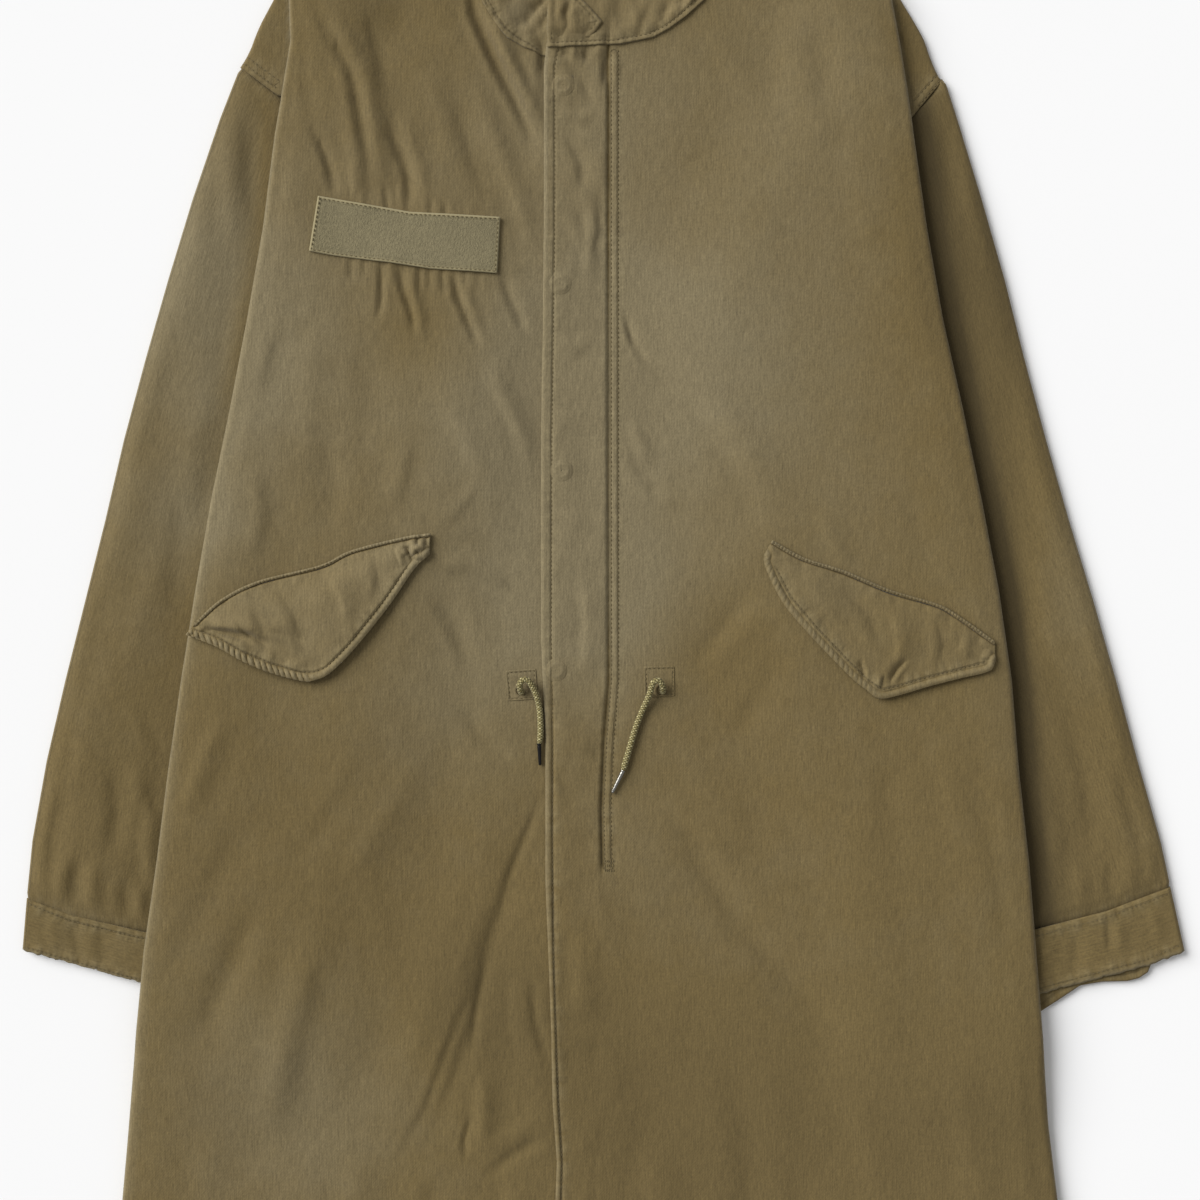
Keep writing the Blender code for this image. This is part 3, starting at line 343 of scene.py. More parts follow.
# Narrow creases are drawn higher than the table of the fronts says: half width, factor.
CREASE_GAINS = [(3, 3), (5, 2.4), (9, 1.3)]

# Stitched lines of the fronts: half the distance between two rows (0 for one row), then x, y of each point.
FRONT_SEAMS = {
    "left": [
        (0, -31.8, 342, -34.2, 329, -34.2, 224, -36.2, 70, -36.6, -70, -35.4, -139, -35.5, -210, -34.8, -286,
         -33.2, -340, -31.4, -391, -28.8, -433, -29.6, -462, -30.6, -516),
        (2.4, 7.6, 342, 7.6, 90, 7.8, -98, 4.4, -140, 2.4, -188, 3.2, -230),
        (0, -34, -498, 321, -498),
    ],
    "right": [
        (0, -341, -498, -20, -498),
    ],
}
# Rows of stitching at the armholes, as points.
ARMHOLE_ROWS = {
    "right": [[(-249, 337), (-226, 320)], [(-251, 332.5), (-228, 315)]],
    "left": [[(235, 327), (216, 305.5)], [(237, 323.5), (219, 302)]],
}

# Places that are paler or darker: x, y, reach, strength. Above zero most were made paler by years of washing and
# rubbing, and some at the right side, where the light falls, are painted light. Below zero they are painted shade,
# as beside the body on the left sleeve and below the left shoulder's pleat.
FADE_AND_PAINTED_LIGHT_PLACES = [
    (-18, -30, 75, 1), (-15, 130, 85, 0.75), (70, 110, 130, 0.60), (-90, -60, 120, 0.40), (120, 260, 170, 0.45),
    (-150, 120, 130, 0.25), (30, -240, 100, 0.20), (-25, 300, 70, 0.45), (-290, 190, 110, 0.85),
    (-340, 20, 110, 0.20), (262, 190, 90, -0.62), (-72, -330, 70, -0.35),
    (-212, -400, 80, 0.65), (80, -410, 110, -0.20), (290, -420, 80, -0.15), (-230, 120, 60, 0.20),
    (222, 346, 26, -0.40), (240, 262, 46, -0.12), (-128, 147, 42, -0.35), (-86, 84, 40, 0.25),
    (80, 235, 60, -0.25), (82, -70, 45, -0.30), (-114, -112, 45, 0.25), (-290, 14, 40, 0.30),
    (322, -42, 70, 0.35), (-60, 368, 16, 0.50), (-250, 95, 34, 0.50), (-268, 20, 34, 0.40),
]

# Creases of the back, where it lifts off the table. This and the tables after it are as those of the fronts.
BACK_CREASES = [
    (9, 0.8, -170, 300, -120, 200, -60, 120), (9, 0.8, 160, 290, 110, 190, 60, 110),
    (10, 0.7, -200, 60, -120, 20, -40, 10), (10, 0.7, 190, 40, 120, 0, 30, -10),
    (10, 0.8, -150, -100, -100, -220, -90, -340), (10, 0.8, 120, -120, 90, -240, 80, -360),
    (10, 0.7, -20, 380, -10, 280, -24, 180), (10, 0.7, 30, -200, 40, -320, 30, -440),
    (10, 0.7, -240, -200, -220, -320, -230, -440), (10, 0.7, 230, -180, 220, -300, 240, -430),
    (8, 0.7, -60, -60, -10, -80, 50, -70), (9, 0.6, -130, 110, -140, 40, -120, -30),
]
COLLAR_CREASES = [
    (3, -2.2, -50, 366, -45, 371, -39, 379), (2.4, -1.4, -55, 356, -50, 363, -43, 370),
    (1.8, -1, -48, 351, -46.5, 360), (2, 0.9, -44, 364, -41, 372), (4, -1.1, -62, 352, -52, 366, -42, 380),
    (2.6, -1.2, -30, 350, -27, 362, -22, 378), (2.6, 0.9, -33, 352, -31, 366, -27, 384),
    (3.5, 0.8, 20, 354, 26, 366, 30, 380), (3, -0.8, 40, 358, 46, 374), (4, -1.2, 52, 366, 60, 382, 62, 396),
    (3, 0.9, 58, 372, 66, 390), (3.6, 1, -76, 372, -68, 384, -58, 392), (4, -0.9, 40, 352, 48, 380, 52, 410),
    (4.5, 0.8, 24, 350, 20, 372, 14, 392), (4, 0.7, 62, 372, 58, 400, 60, 424), (5, -0.6, 0, 352, -4, 380, 2, 410),
    (4.5, 0.7, -70, 362, -66, 390, -72, 416), (4, -0.7, -84, 374, -84, 400, -90, 430),
    (4, -0.6, -54, 352, -50, 380, -56, 404), (5, -0.7, 74, 396, 72, 430, 78, 460),
]
FLAP_CREASES = [
    (3, -1.6, -282, -62, -262, -66, -240, -72), (2.6, 1.2, -276, -59, -256, -61, -238, -64),
    (2.4, -1.2, -256, -56, -246, -66, -230, -76), (3, -0.9, -232, -62, -216, -68, -206, -74),
    (2, -1, -138, -4, -132, -16), (2.2, 0.8, -144, -4, -138, -20), (2.2, -1.3, 197, -101, 204, -90, 211, -82),
    (2.2, -1.1, 181, -100, 180, -90, 177, -82), (2.4, 0.9, 190, -104, 192, -92), (2, -0.9, 245, -52, 252, -60),
    (6, 0.8, -262, -52, -240, -64, -214, -70), (6, -0.8, -226, -32, -212, -56, -204, -84),
    (5, 0.7, -190, -20, -180, -40, -176, -60), (4.5, -0.6, -160, -10, -156, -26, -158, -44),
    (5, -0.6, -246, -44, -236, -60, -232, -78), (6, 0.7, 136, -20, 150, -40, 170, -62),
    (6.5, -0.8, 160, -28, 184, -52, 196, -84), (5.5, 0.7, 200, -44, 206, -70, 204, -94),
    (5, -0.6, 230, -52, 236, -72, 232, -90), (4, 0.5, 252, -62, 250, -76, 254, -84),
]

# Stitched lines of the other pieces: half the distance between two rows (0 for one row), then x, y of each point.
OTHER_SEAMS = {
    "collar": [
        (0, -36.5, 347, -36.5, 420),
        (0, -37, 345.6, 8, 347.6, 32, 352.3, 43, 357.4, 53, 365, 65, 378, 72, 398, 78, 419, 84, 438),
        (0, -46, 341, -53, 345.5, -64, 351.8, -69, 357, -75, 365.5, -81.5, 377, -89.6, 398, -95.6, 419, -100, 438),
    ],
    "cuff_tab": [(0, 282, -331, 291, -331.5, 303, -325, 317, -316.5, 332, -306.5, 349, -304, 366, -303.5, 374, -301)],
    "throat_tab": [(0, -9.5, 354, -8.6, 355, -5, 360, -13, 369, -22, 378, -32, 388)],
    "cuff": [
        (0, -401, -254, -371, -266, -319, -278.5, -267, -292),
        (0, -403, -284.5, -365, -295.3, -323, -307.3, -269, -322),
        (0, 394, -247, 351, -263.5, 301, -276.5, 255, -291),
        (0, 402, -283, 378, -293, 344, -302, 303, -313, 253, -328),
    ],
    "flap": [
        (0, -281, -63, -266, -68, -249, -77.6, -230, -85.6, -209, -91.8, -200, -91.6, -192, -88.4, -176.8, -72.9,
         -153.6, -44, -136, -18.8),
        (0, 119, -19, 130, -40, 148, -61.5, 173, -87.5, 184, -98, 193, -103.6, 203, -101.6, 223, -95.6, 245, -90,
         264, -85),
    ],
}

# ---- number work

def smooth(value):
    value = np.clip(value, 0.0, 1.0)
    return value * value * (3.0 - 2.0 * value)


def even(count):
    """Shares from 0 to 1 in even steps."""
    return np.linspace(0.0, 1.0, count)


def together(*values):
    """Arrays of numbers as one array of points."""
    return np.stack(values, axis=-1)


def bell(away, reach):
    """1 at no distance, falling to nothing a few reaches away."""
    return np.exp(-(away / reach) ** 2)


def read_table(table, at, column=1):
    """Values of a table's column at places in its first column, in straight steps between rows."""
    rows = np.array(sorted(table), float)
    return np.interp(at, rows[:, 0], rows[:, column])


def step_lengths(points):
    """Distances between each point and the next."""
    return norm(np.diff(points, axis=0), axis=1)


def along(points, share):
    """Points at shares of a polyline's length."""
    points = np.asarray(points, float)
    steps = step_lengths(points)
    travelled = np.concatenate([[0.0], np.cumsum(steps)]) / steps.sum()
    return np.stack([np.interp(share, travelled, points[:, k]) for k in range(points.shape[1])], axis=-1)


def evenly(points, pitch):
    """The same line with a point at every step of about one pitch, its corners kept."""
    points = np.asarray(points, float)
    line = []
    for a, b in zip(points, points[1:]):
        count = max(1, round(norm(b - a) / pitch))
        line += [a + (b - a) * k / count for k in range(count)]
    return np.array(line + [points[-1]])


def smooth_curve(points, count):
    """Points evenly spread over a Catmull-Rom curve through the given ones."""
    points = [np.asarray(point, float) for point in points]
    points = [2 * points[0] - points[1]] + points + [2 * points[-1] - points[-2]]
    dense = []
    for a, b, c, d in zip(points, points[1:], points[2:], points[3:]):
        for t in np.linspace(0.0, 1.0, 12, endpoint=False):
            dense.append(0.5 * (2 * b + (c - a) * t + (2 * a - 5 * b + 4 * c - d) * t ** 2
                                + (3 * b - a - 3 * c + d) * t ** 3))
    dense.append(points[-2])
    return along(dense, even(count))


def shifted(line, away):
    """A line moved sideways, to the left of its way along."""
    way = np.gradient(line, axis=0)
    way /= norm(way, axis=1)[:, None]
    return line + np.column_stack([-way[:, 1], way[:, 0]]) * away


def line_distance(x, y, points):
    """Signed distance from a polyline, the distance along it, and its length."""
    points = np.asarray(points, float)
    away = np.full(np.shape(x), 1e6)
    at = np.zeros(np.shape(x))
    passed = 0.0
    for a, b in zip(points, points[1:]):
        way = b - a
        length = math.hypot(*way)
        t = np.clip(((x - a[0]) * way[0] + (y - a[1]) * way[1]) / length ** 2, 0.0, 1.0)
        dx = x - a[0] - t * way[0]
        dy = y - a[1] - t * way[1]
        off = np.hypot(dx, dy)
        nearer = off < np.abs(away)
        away = np.where(nearer, np.where(way[0] * dy - way[1] * dx < 0.0, -off, off), away)
        at = np.where(nearer, passed + t * length, at)
        passed += length
    return away, at, passed


def between_four(a, b, c, d, s, t):
    """Values between a and b at shares s, between c and d in the same way, and between those two at shares t."""
    return (a * (1 - s) + b * s) * (1 - t) + (c * (1 - s) + d * s) * t


def soft_noise(x, y, cell, seed):
    """Smooth bumps between -1 and 1 that are the same in each run."""
    table = np.random.default_rng(seed).uniform(-1.0, 1.0, (64, 64))
    u = np.asarray(x) / cell + 1000.0
    v = np.asarray(y) / cell + 1000.0
    i = np.floor(u).astype(int)
    j = np.floor(v).astype(int)
    corners = [table[(i + a) % 64, (j + b) % 64] for b in (0, 1) for a in (0, 1)]
    return between_four(*corners, smooth(u - i), smooth(v - j))


def crease_relief(x, y, creases, lean=0.25):
    """Heights of a table of creases. Each is steeper on one side and has a shallow dip beside it."""
    relief = np.zeros(np.shape(x))
    for width, height, *places in creases:
        points = np.reshape(places, (-1, 2))
        reach = 3.6 * width
        low = np.min(points, axis=0) - reach
        high = np.max(points, axis=0) + reach
        near = (x > low[0]) & (x < high[0]) & (y > low[1]) & (y < high[1])
        if not near.any():
            continue
        away, at, length = line_distance(x[near], y[near], points)
        taper = smooth(at / (0.34 * length)) * smooth((length - at) / (0.34 * length))
        wide = width * np.where(away > 0.0, 1.0 + lean, 1.0 - lean)
        ridge = bell(away, wide)
        beside = bell(np.abs(away) - 2.0 * wide, 1.1 * wide)
        relief[near] += height * taper * (ridge - 0.22 * beside)
    return relief


def crumple(x, y, seed):
    """Low uneven bumps that washed cloth has between its creases."""
    wide = 0.55 * soft_noise(x * 1.25, y * 0.8, 46.0, seed)
    middle = 0.26 * soft_noise(x * 1.3 + 0.3 * y, y * 0.75, 19.0, seed + 1)
    fine = 0.10 * soft_noise(x * 1.2, y * 0.9, 8.5, seed + 2)
    return wide + middle + fine


# ---- levels of the layers

def raised_outline(side):
    """Plan of the sleeve that lies below the body, without its corner next to the shoulder."""
    start = np.array(side["armhole"][2], float)
    corner = start - np.array((-side["side"] * 40.0, 12.0))
    return [tuple(corner), tuple(start), *side["armhole"][3:], side["cuff_low"][-1], side["cuff_low"][0]]


def distance_outside(x, y, outline):
    """How far places are outside a closed outline, 0 inside it."""
    inside = np.zeros(np.shape(x), bool)
    nearest = np.full(np.shape(x), 1e6)
    for (ax, ay), (bx, by) in zip(outline, outline[1:] + outline[:1]):
        rise = by - ay if by != ay else 1e-9
        inside ^= ((ay > y) != (by > y)) & (x < (bx - ax) * (y - ay) / rise + ax)
        length = (bx - ax) ** 2 + (by - ay) ** 2
        t = np.clip(((x - ax) * (bx - ax) + (y - ay) * (by - ay)) / length, 0.0, 1.0)
        nearest = np.minimum(nearest, np.hypot(x - ax - t * (bx - ax), y - ay - t * (by - ay)))
    return np.where(inside, 0.0, nearest)


OUTLINES = {key: raised_outline(side) for key, side in SIDES.items()}


def ride(x, y, key, margin, fade):
    """How far the cloth is lifted by the sleeve below it."""
    return OVER_SLEEVE * smooth((margin + fade - distance_outside(x, y, OUTLINES[key])) / fade)


def back_ride(x, y):
    return np.where(x < 0, ride(x, y, "right", 28.0, 30.0), ride(x, y, "left", 28.0, 30.0))


def pleat_heights(y):
    """Middle heights of the shoulder, of the pleat's return and of its fold."""
    full = smooth((NECK_SIDE_Y - y) / 50.0)
    return 2.6 + 2.0 * full, 5.0 + 2.0 * full, 7.4 + 2.4 * full


def fold_x(y, side):
    return read_table(FOLD, y, side["fold_column"])


def tuck_x(y, side):
    """Inner turn of the pleat, or the side seam below the armhole."""
    room = np.abs(read_table(side["neck"], y) - fold_x(y, side)) - 8.0
    return fold_x(y, side) - side["side"] * np.minimum(RETURN_WIDTH, room)


def fold_relief(x, y):
    """Sum of the large soft folds."""
    relief = np.zeros(np.shape(x))
    for ax, ay, bx, by, half_width, height in BODY_FOLDS:
        length = (bx - ax) ** 2 + (by - ay) ** 2
        t = np.clip(((x - ax) * (bx - ax) + (y - ay) * (by - ay)) / length, 0.0, 1.0)
        off = np.hypot(x - ax - t * (bx - ax), y - ay - t * (by - ay))
        taper = smooth(4.0 * np.minimum(t, 1.0 - t) + 0.25)
        relief += height * taper * bell(off, half_width)
    return relief


def near_cords(x, y):
    """1 under the waist cord's ends, fading to 0 a thumb's width away."""
    reach = np.full(np.shape(x), 1e6)
    for route in CORD_ROUTES.values():
        away = line_distance(x, y, [point[:2] for point in route])[0]
        reach = np.minimum(reach, np.abs(away))
    return bell(reach, 13.0)


def body_lift(y):
    """How much fuller the body looks than its flat form."""
    return 2.6 * smooth((NECK_SIDE_Y - y) / 60.0)


def side_puff(y):
    """How much fuller still the rolls at its sides look."""
    return 2.2 * smooth((NECK_SIDE_Y - y) / 70.0)


def front_height(x, y, key="right", creased=True):
    """Middle height of a front panel, without the fly."""
    side = SIDES[key]
    wide = ride(x, y, key, 38.0, 75.0)
    reach_in = (x - tuck_x(y, side)) * -side["side"]
    near_pleat = smooth((58.0 - reach_in) / 50.0)
    above_armhole = smooth((y - side["armhole_station"] + 60.0) / 45.0)
    pleat = np.maximum((pleat_heights(y)[2] - FRONT_Z) * near_pleat * above_armhole, 0.0)
    height = FRONT_Z + (wide ** 6 + pleat ** 6) ** (1.0 / 6.0)
    relief = fold_relief(x, y) * smooth(reach_in / 40.0)
    if creased:
        calm = 1.0 - 0.55 * smooth((x + 12.0) / 40.0) * smooth((y + 160.0) / 120.0)
        sharp = [(width, rise * float(read_table(CREASE_GAINS, width)), *line)
                 for width, rise, *line in FRONT_CREASES]
        small = crease_relief(x, y, sharp) + 1.2 * crumple(x, y, 11) * calm
        small *= sizes().crease_strength * smooth((reach_in + 25.0) / 14.0) * (1.0 - 0.85 * near_cords(x, y))
        small *= smooth((NECK_SIDE_Y + 4.0 - y) / 20.0)
        relief = relief + np.where(reach_in < 6.0, np.maximum(small, -1.1), small)
        relief += side_puff(y) * bell(np.maximum(reach_in + 20.0, 0.0), 50.0)
        height = height + body_lift(y)
    return height + np.where(relief < 0.0, -DEEPEST * np.tanh(-relief / DEEPEST), relief)


def fly_start(y):
    return read_table(FLY_EDGE, y)


def fly_row(number, y):
    """Where the fly is stitched: 0 at its free edge, 1 the middle of the double row at its inner edge."""
    return read_table(np.reshape(FRONT_SEAMS["left"][number][1:], (-1, 2))[:, ::-1].tolist(), y)


def left_height(x, y):
    """Middle height of the left front, with the fly's rise and the step at its inner edge."""
    away = x - fly_start(y)
    from_step = x - fly_row(1, y) + 5.4
    held = smooth((y - BARTACK_Y + 4.0) / 10.0)
    short = (1.0 - 0.4 * smooth((away - 6.0) / 30.0)) * smooth((1.3 - from_step) / 2.8)
    long = smooth((FLY_WIDTH + 16.0 - away) / 46.0)
    rise = FLY_RISE * (short * held + long * (1.0 - held))
    rise += held * (0.4 * bell(from_step - 5.4, 2.6) - 0.7 * bell(from_step - 1.2, 1.3))
    row = x - fly_row(0, y)
    low = smooth((-90.0 - y) / 80.0)
    rise += 0.30 * bell(away - 1.1, 1.2) - (0.45 + 0.55 * low) * bell(row, 1.2)
    rise += 0.5 * soft_noise(x * 1.1, y, 14.0, 131) * smooth((1.0 - from_step) / 6.0) * smooth((away - 6.0) / 5.0)
    return front_height(x, y, "left") + rise * smooth((353.0 - y) / 3.5)


# What gives the middle height of each front.
FRONT_TOPS = {"right": front_height, "left": left_height}

# ---- mesh and nodes helpers

def sizes():
    return bpy.context.scene.parka_sizes


def colours():
    return bpy.context.scene.parka_colours


def linear(colour):
    """Linear values of a colour that is given as it looks on a screen."""
    colour = np.asarray(colour[:3])
    return np.where(colour <= 0.04045, colour / 12.92, ((colour + 0.055) / 1.055) ** 2.4)


def rgba(colour, strength=1.0):
    """A socket's value for a screen colour, made weaker or stronger."""
    return (*(linear(colour) * strength), 1.0)


def fade_and_painted_light_field(x, y):
    """How pale or dark the cloth is at places on the page: washed-out fade, painted light and painted shade."""
    pale = np.zeros(np.shape(x))
    for px, py, reach, strength in FADE_AND_PAINTED_LIGHT_PLACES:
        pale += strength * np.exp(-((x - px) ** 2 + (y - py) ** 2) / reach ** 2)
    return pale


def seam_field(x, y, seams):
    """For each place the nearest stitched line: distance along it, distance from it, half its rows' spacing."""
    field = np.zeros(np.shape(x) + (3,))
    field[..., 1] = FAR
    for half, *places in seams:
        away, at, length = line_distance(x, y, np.reshape(places, (-1, 2)))
        away = np.abs(away)
        near = (away < field[..., 1]) & (away < SEAM_REACH)
        rows = np.where((at > 0.5) & (at < length - 0.5), half, -1.6 if half else 0.0)
        field[near] = np.stack([at[near], away[near], rows[near]], axis=-1)
    return field


def add_field(mesh, label, values):
    """Keeps a number or a vector at each of a mesh's corners."""
    kind, key = ("FLOAT", "value") if values.ndim == 1 else ("FLOAT_VECTOR", "vector")
    attribute = mesh.attributes.new(label, kind, "POINT")
    attribute.data.foreach_set(key, np.ascontiguousarray(values, np.float32).ravel())


def new_mesh(name, corners, faces, fields=()):
    """Smooth mesh from corners in millimetres."""
    mesh = bpy.data.meshes.new(name)
    mesh.from_pydata((np.asarray(corners) * MM).tolist(), [], faces)
    for label, values in fields:
        add_field(mesh, label, values)
    mesh.polygons.foreach_set("use_smooth", [True] * len(mesh.polygons))
    mesh.update()
    return mesh


def grid_mesh(name, grid, ring=False, fields=()):
    """Mesh through a grid of points in millimetres. Cells next to a missing point are left out."""
    rows, columns = grid.shape[:2]
    known = ~np.isnan(grid[..., 0])
    number = np.cumsum(known).reshape(known.shape) - 1
    r, c = np.mgrid[0:rows - 1, 0:columns if ring else columns - 1]
    d = (c + 1) % columns
    whole = known[r, c] & known[r, d] & known[r + 1, d] & known[r + 1, c]
    faces = np.stack([number[r, c], number[r, d], number[r + 1, d], number[r + 1, c]], axis=-1)[whole]
    return new_mesh(name, grid[known], faces.tolist(), [(label, values[known]) for label, values in fields])


def new_object(name, data):
    item = bpy.data.objects.new(name, data)
    bpy.context.scene.collection.objects.link(item)
    return item


def dress(name, mesh, material, slot, *nodes):
    """Makes a piece of the parka that rides on its body and stands for some of its plain parts."""
    mesh.materials.append(material)
    item = new_object(name, mesh)
    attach(item, "root")
    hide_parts(*nodes)
    return item


def give_thickness(item, thickness):
    solid = item.modifiers.new("cloth", "SOLIDIFY")
    solid.thickness = thickness * MM
    solid.offset = 0.0


def cloth_piece(name, grid, thickness, material, slot="parka_cloth", ring=False, seams=(),
                grain=None, edge=None):
    """A piece of cloth on the form of its plain part, with what its material reads: the thread's direction,
    the nearest seam and how pale or dark it is from washing, wear, painted light and painted shade."""
    x = grid[..., 0]
    y = grid[..., 1]
    grain = together(x, y, np.zeros_like(x)) if grain is None else grain
    pale = fade_and_painted_light_field(x, y)
    # edge adds rubbed wear, painted highlights and painted shade; where it is below zero it also takes back the fade.
    if edge is not None:
        pale = pale * (1.0 + np.clip(edge, -1.0, 0.0)) + edge
    fields = [("grain", grain), ("seam", seam_field(x, y, seams)), ("pale", pale)]
    mesh = grid_mesh(name, grid, ring, fields)
    item = dress(name, mesh, material, slot, name)
    item.name = name + "_cloth"
    give_thickness(item, thickness)
    return item


class Ground:
    """What lies below a piece: the highest cloth of some pieces at each place on the page."""

    def __init__(self, *names):
        depsgraph = bpy.context.evaluated_depsgraph_get()
        self.trees = [BVHTree.FromObject(bpy.data.objects[name + "_cloth"], depsgraph) for name in names]

    def top(self, x, y, reach=0.0):
        """Highest cloth within a reach of a place, in millimetres."""
        places = [(x, y)]
        if reach:
            turns = [math.tau * k / 8 for k in range(8)]
            places += [(x + reach * math.cos(a), y + reach * math.sin(a)) for a in turns]
        heights = [0.0]
        for tree in self.trees:
            for px, py in places:
                hit = tree.ray_cast(Vector((px * MM, py * MM, 1.0)), Vector((0, 0, -1)))[0]
                if hit is not None:
                    heights.append(hit.z / MM)
        return max(heights)

    def tops(self, x, y):
        flat = [self.top(px, py) for px, py in zip(np.ravel(x), np.ravel(y))]
        return np.array(flat).reshape(np.shape(x))


class Tree:
    """Short ways to add and join the nodes of a material or a node group."""

    def __init__(self, tree):
        self.tree = tree

    def add(self, kind, inputs=(), **settings):
        node = self.tree.nodes.new(kind)
        for key, value in settings.items():
            setattr(node, key, value)
        for key, value in dict(inputs).items():
            self.feed(value, node.inputs[key])
        return node

    def feed(self, value, socket):
        if isinstance(value, bpy.types.NodeSocket):
            self.tree.links.new(value, socket)
        else:
            socket.default_value = value

    def math(self, operation, a, b=0.0, clamp=False):
        node = self.add("ShaderNodeMath", {0: a, 1: b}, operation=operation, use_clamp=clamp)
        return node.outputs[0]

    def times(self, a, b, clamp=False):
        return self.math("MULTIPLY", a, b, clamp)

    def plus(self, a, b, clamp=False):
        return self.math("ADD", a, b, clamp)

    def noise(self, vector, scale, detail=2.0, roughness=0.5, stretch=(1.0, 1.0, 1.0)):
        placed = self.add("ShaderNodeVectorMath", {0: vector, 1: stretch}, operation="MULTIPLY").outputs[0]
        node = self.add("ShaderNodeTexNoise", {"Vector": placed, "Scale": scale, "Detail": detail,
                                               "Roughness": roughness})
        return node.outputs[0]

    def mix(self, share, a, b, blend="MIX"):
        node = self.add("ShaderNodeMix", data_type="RGBA", blend_type=blend, clamp_factor=True)
        for value, socket in ((share, node.inputs[0]), (a, node.inputs[6]), (b, node.inputs[7])):
            self.feed(value, socket)
        return node.outputs[2]

    def place(self):
        return self.add("ShaderNodeTexCoord").outputs["Object"]

    def attribute(self, name):
        return self.add("ShaderNodeAttribute", attribute_type="GEOMETRY", attribute_name=name)

    def bell(self, value, width):
        """1 where the value is 0, falling to nothing a few widths away."""
        ratio = self.math("DIVIDE", value, width)
        return self.math("POWER", math.e, self.times(self.times(ratio, ratio), -1.0))


def new_group(name, inputs, outputs):
    group = bpy.data.node_groups.new(name, "ShaderNodeTree")
    for label, kind in inputs:
        group.interface.new_socket(label, in_out="INPUT", socket_type=kind)
    for label, kind in outputs:
        group.interface.new_socket(label, in_out="OUTPUT", socket_type=kind)
    tree = Tree(group)
    return group, tree, tree.add("NodeGroupInput"), tree.add("NodeGroupOutput")


def twill_grain_group():
    """Threads of the twill, from places on the cloth in millimetres."""
    if "twill_grain" in bpy.data.node_groups:
        return bpy.data.node_groups["twill_grain"]
    group, tree, given, result = new_group(
        "twill_grain", [("Grain", "NodeSocketVector")],
        [("Height", "NodeSocketFloat"), ("Streak", "NodeSocketFloat")])
    grain = given.outputs["Grain"]
    parts = tree.add("ShaderNodeSeparateXYZ", {0: grain})
    diagonal = tree.plus(parts.outputs[0], tree.times(parts.outputs[1], 0.55))
    rib = tree.math("SINE", tree.times(diagonal, math.tau / 1.1))
    slub = tree.noise(grain, 1.0, 2.0, 0.6, (1.1, 0.11, 1.0))
    long_slub = tree.noise(grain, 1.0, 2.0, 0.5, (0.7, 0.03, 1.0))
    pick = tree.noise(grain, 1.0, 2.0, 0.6, (0.75, 0.6, 1.0))
    height = tree.times(rib, 0.03)
    height = tree.plus(height, tree.times(slub, 0.10))
    height = tree.plus(height, tree.times(pick, 0.09))
    streak = tree.plus(tree.times(slub, 0.45), tree.times(long_slub, 0.15))
    streak = tree.plus(streak, tree.times(pick, 0.40))
    tree.feed(height, result.inputs["Height"])
    tree.feed(streak, result.inputs["Streak"])
    return group


def seam_pucker_group():
    """Puckers along a stitched line, the line's own groove, and where rubbing has paled the cloth beside it."""
    if "seam_pucker" in bpy.data.node_groups:
        return bpy.data.node_groups["seam_pucker"]
    group, tree, given, result = new_group(
        "seam_pucker", [("Seam", "NodeSocketVector"), ("Pucker", "NodeSocketFloat")],
        [("Height", "NodeSocketFloat"), ("Rub", "NodeSocketFloat"), ("Groove", "NodeSocketFloat")])
    parts = tree.add("ShaderNodeSeparateXYZ", {0: given.outputs["Seam"]})
    away = tree.math("SUBTRACT", parts.outputs[1], parts.outputs[2])
    wave = tree.noise(given.outputs["Seam"], 1.0, 1.0, 0.4, (0.17, 0.085, 0.0))
    wave = tree.math("SUBTRACT", wave, 0.5)
    near = tree.bell(away, 5.0)
    groove = tree.bell(away, 0.75)
    height = tree.times(tree.times(wave, near), given.outputs["Pucker"])
    height = tree.math("SUBTRACT", height, tree.times(groove, 0.35))
    rub = tree.times(near, tree.times(tree.plus(wave, 0.16), 3.4, True), True)
    tree.feed(height, result.inputs["Height"])
    tree.feed(rub, result.inputs["Rub"])
    tree.feed(groove, result.inputs["Groove"])
    return group


def blotch_group():
    """Uneven dye and wear, from places on the parka in metres."""
    if "uneven_dye" in bpy.data.node_groups:
        return bpy.data.node_groups["uneven_dye"]
    group, tree, given, result = new_group(
        "uneven_dye", [("Place", "NodeSocketVector")], [("Blotch", "NodeSocketFloat")])
    wide = tree.noise(given.outputs["Place"], 9.0, 3.0, 0.55)
    small = tree.noise(given.outputs["Place"], 55.0, 3.0, 0.6)
    total = tree.plus(tree.times(wide, 0.62), tree.times(small, 0.38))
    tree.feed(tree.math("SUBTRACT", total, 0.5), result.inputs["Blotch"])
    return group


def new_material(name, roughness, sheen=0.0, metallic=0.0):
    material = bpy.data.materials.new(name)
    material.use_nodes = True
    tree = Tree(material.node_tree)
    shader = material.node_tree.nodes["Principled BSDF"]
    shader.inputs["Roughness"].default_value = roughness
    shader.inputs["Metallic"].default_value = metallic
    shader.inputs["Sheen Weight"].default_value = sheen
    shader.inputs["Sheen Roughness"].default_value = 0.5
    shader.inputs["Specular IOR Level"].default_value = 0.25
    return material, tree, shader


def cover(tree, shader, base, height, distance=MM):
    """Gives a material its colour and its small bumps."""
    tree.feed(base, shader.inputs["Base Color"])
    node = tree.add("ShaderNodeBump", {"Height": height, "Distance": distance, "Strength": 1.0})
    tree.feed(node.outputs[0], shader.inputs["Normal"])


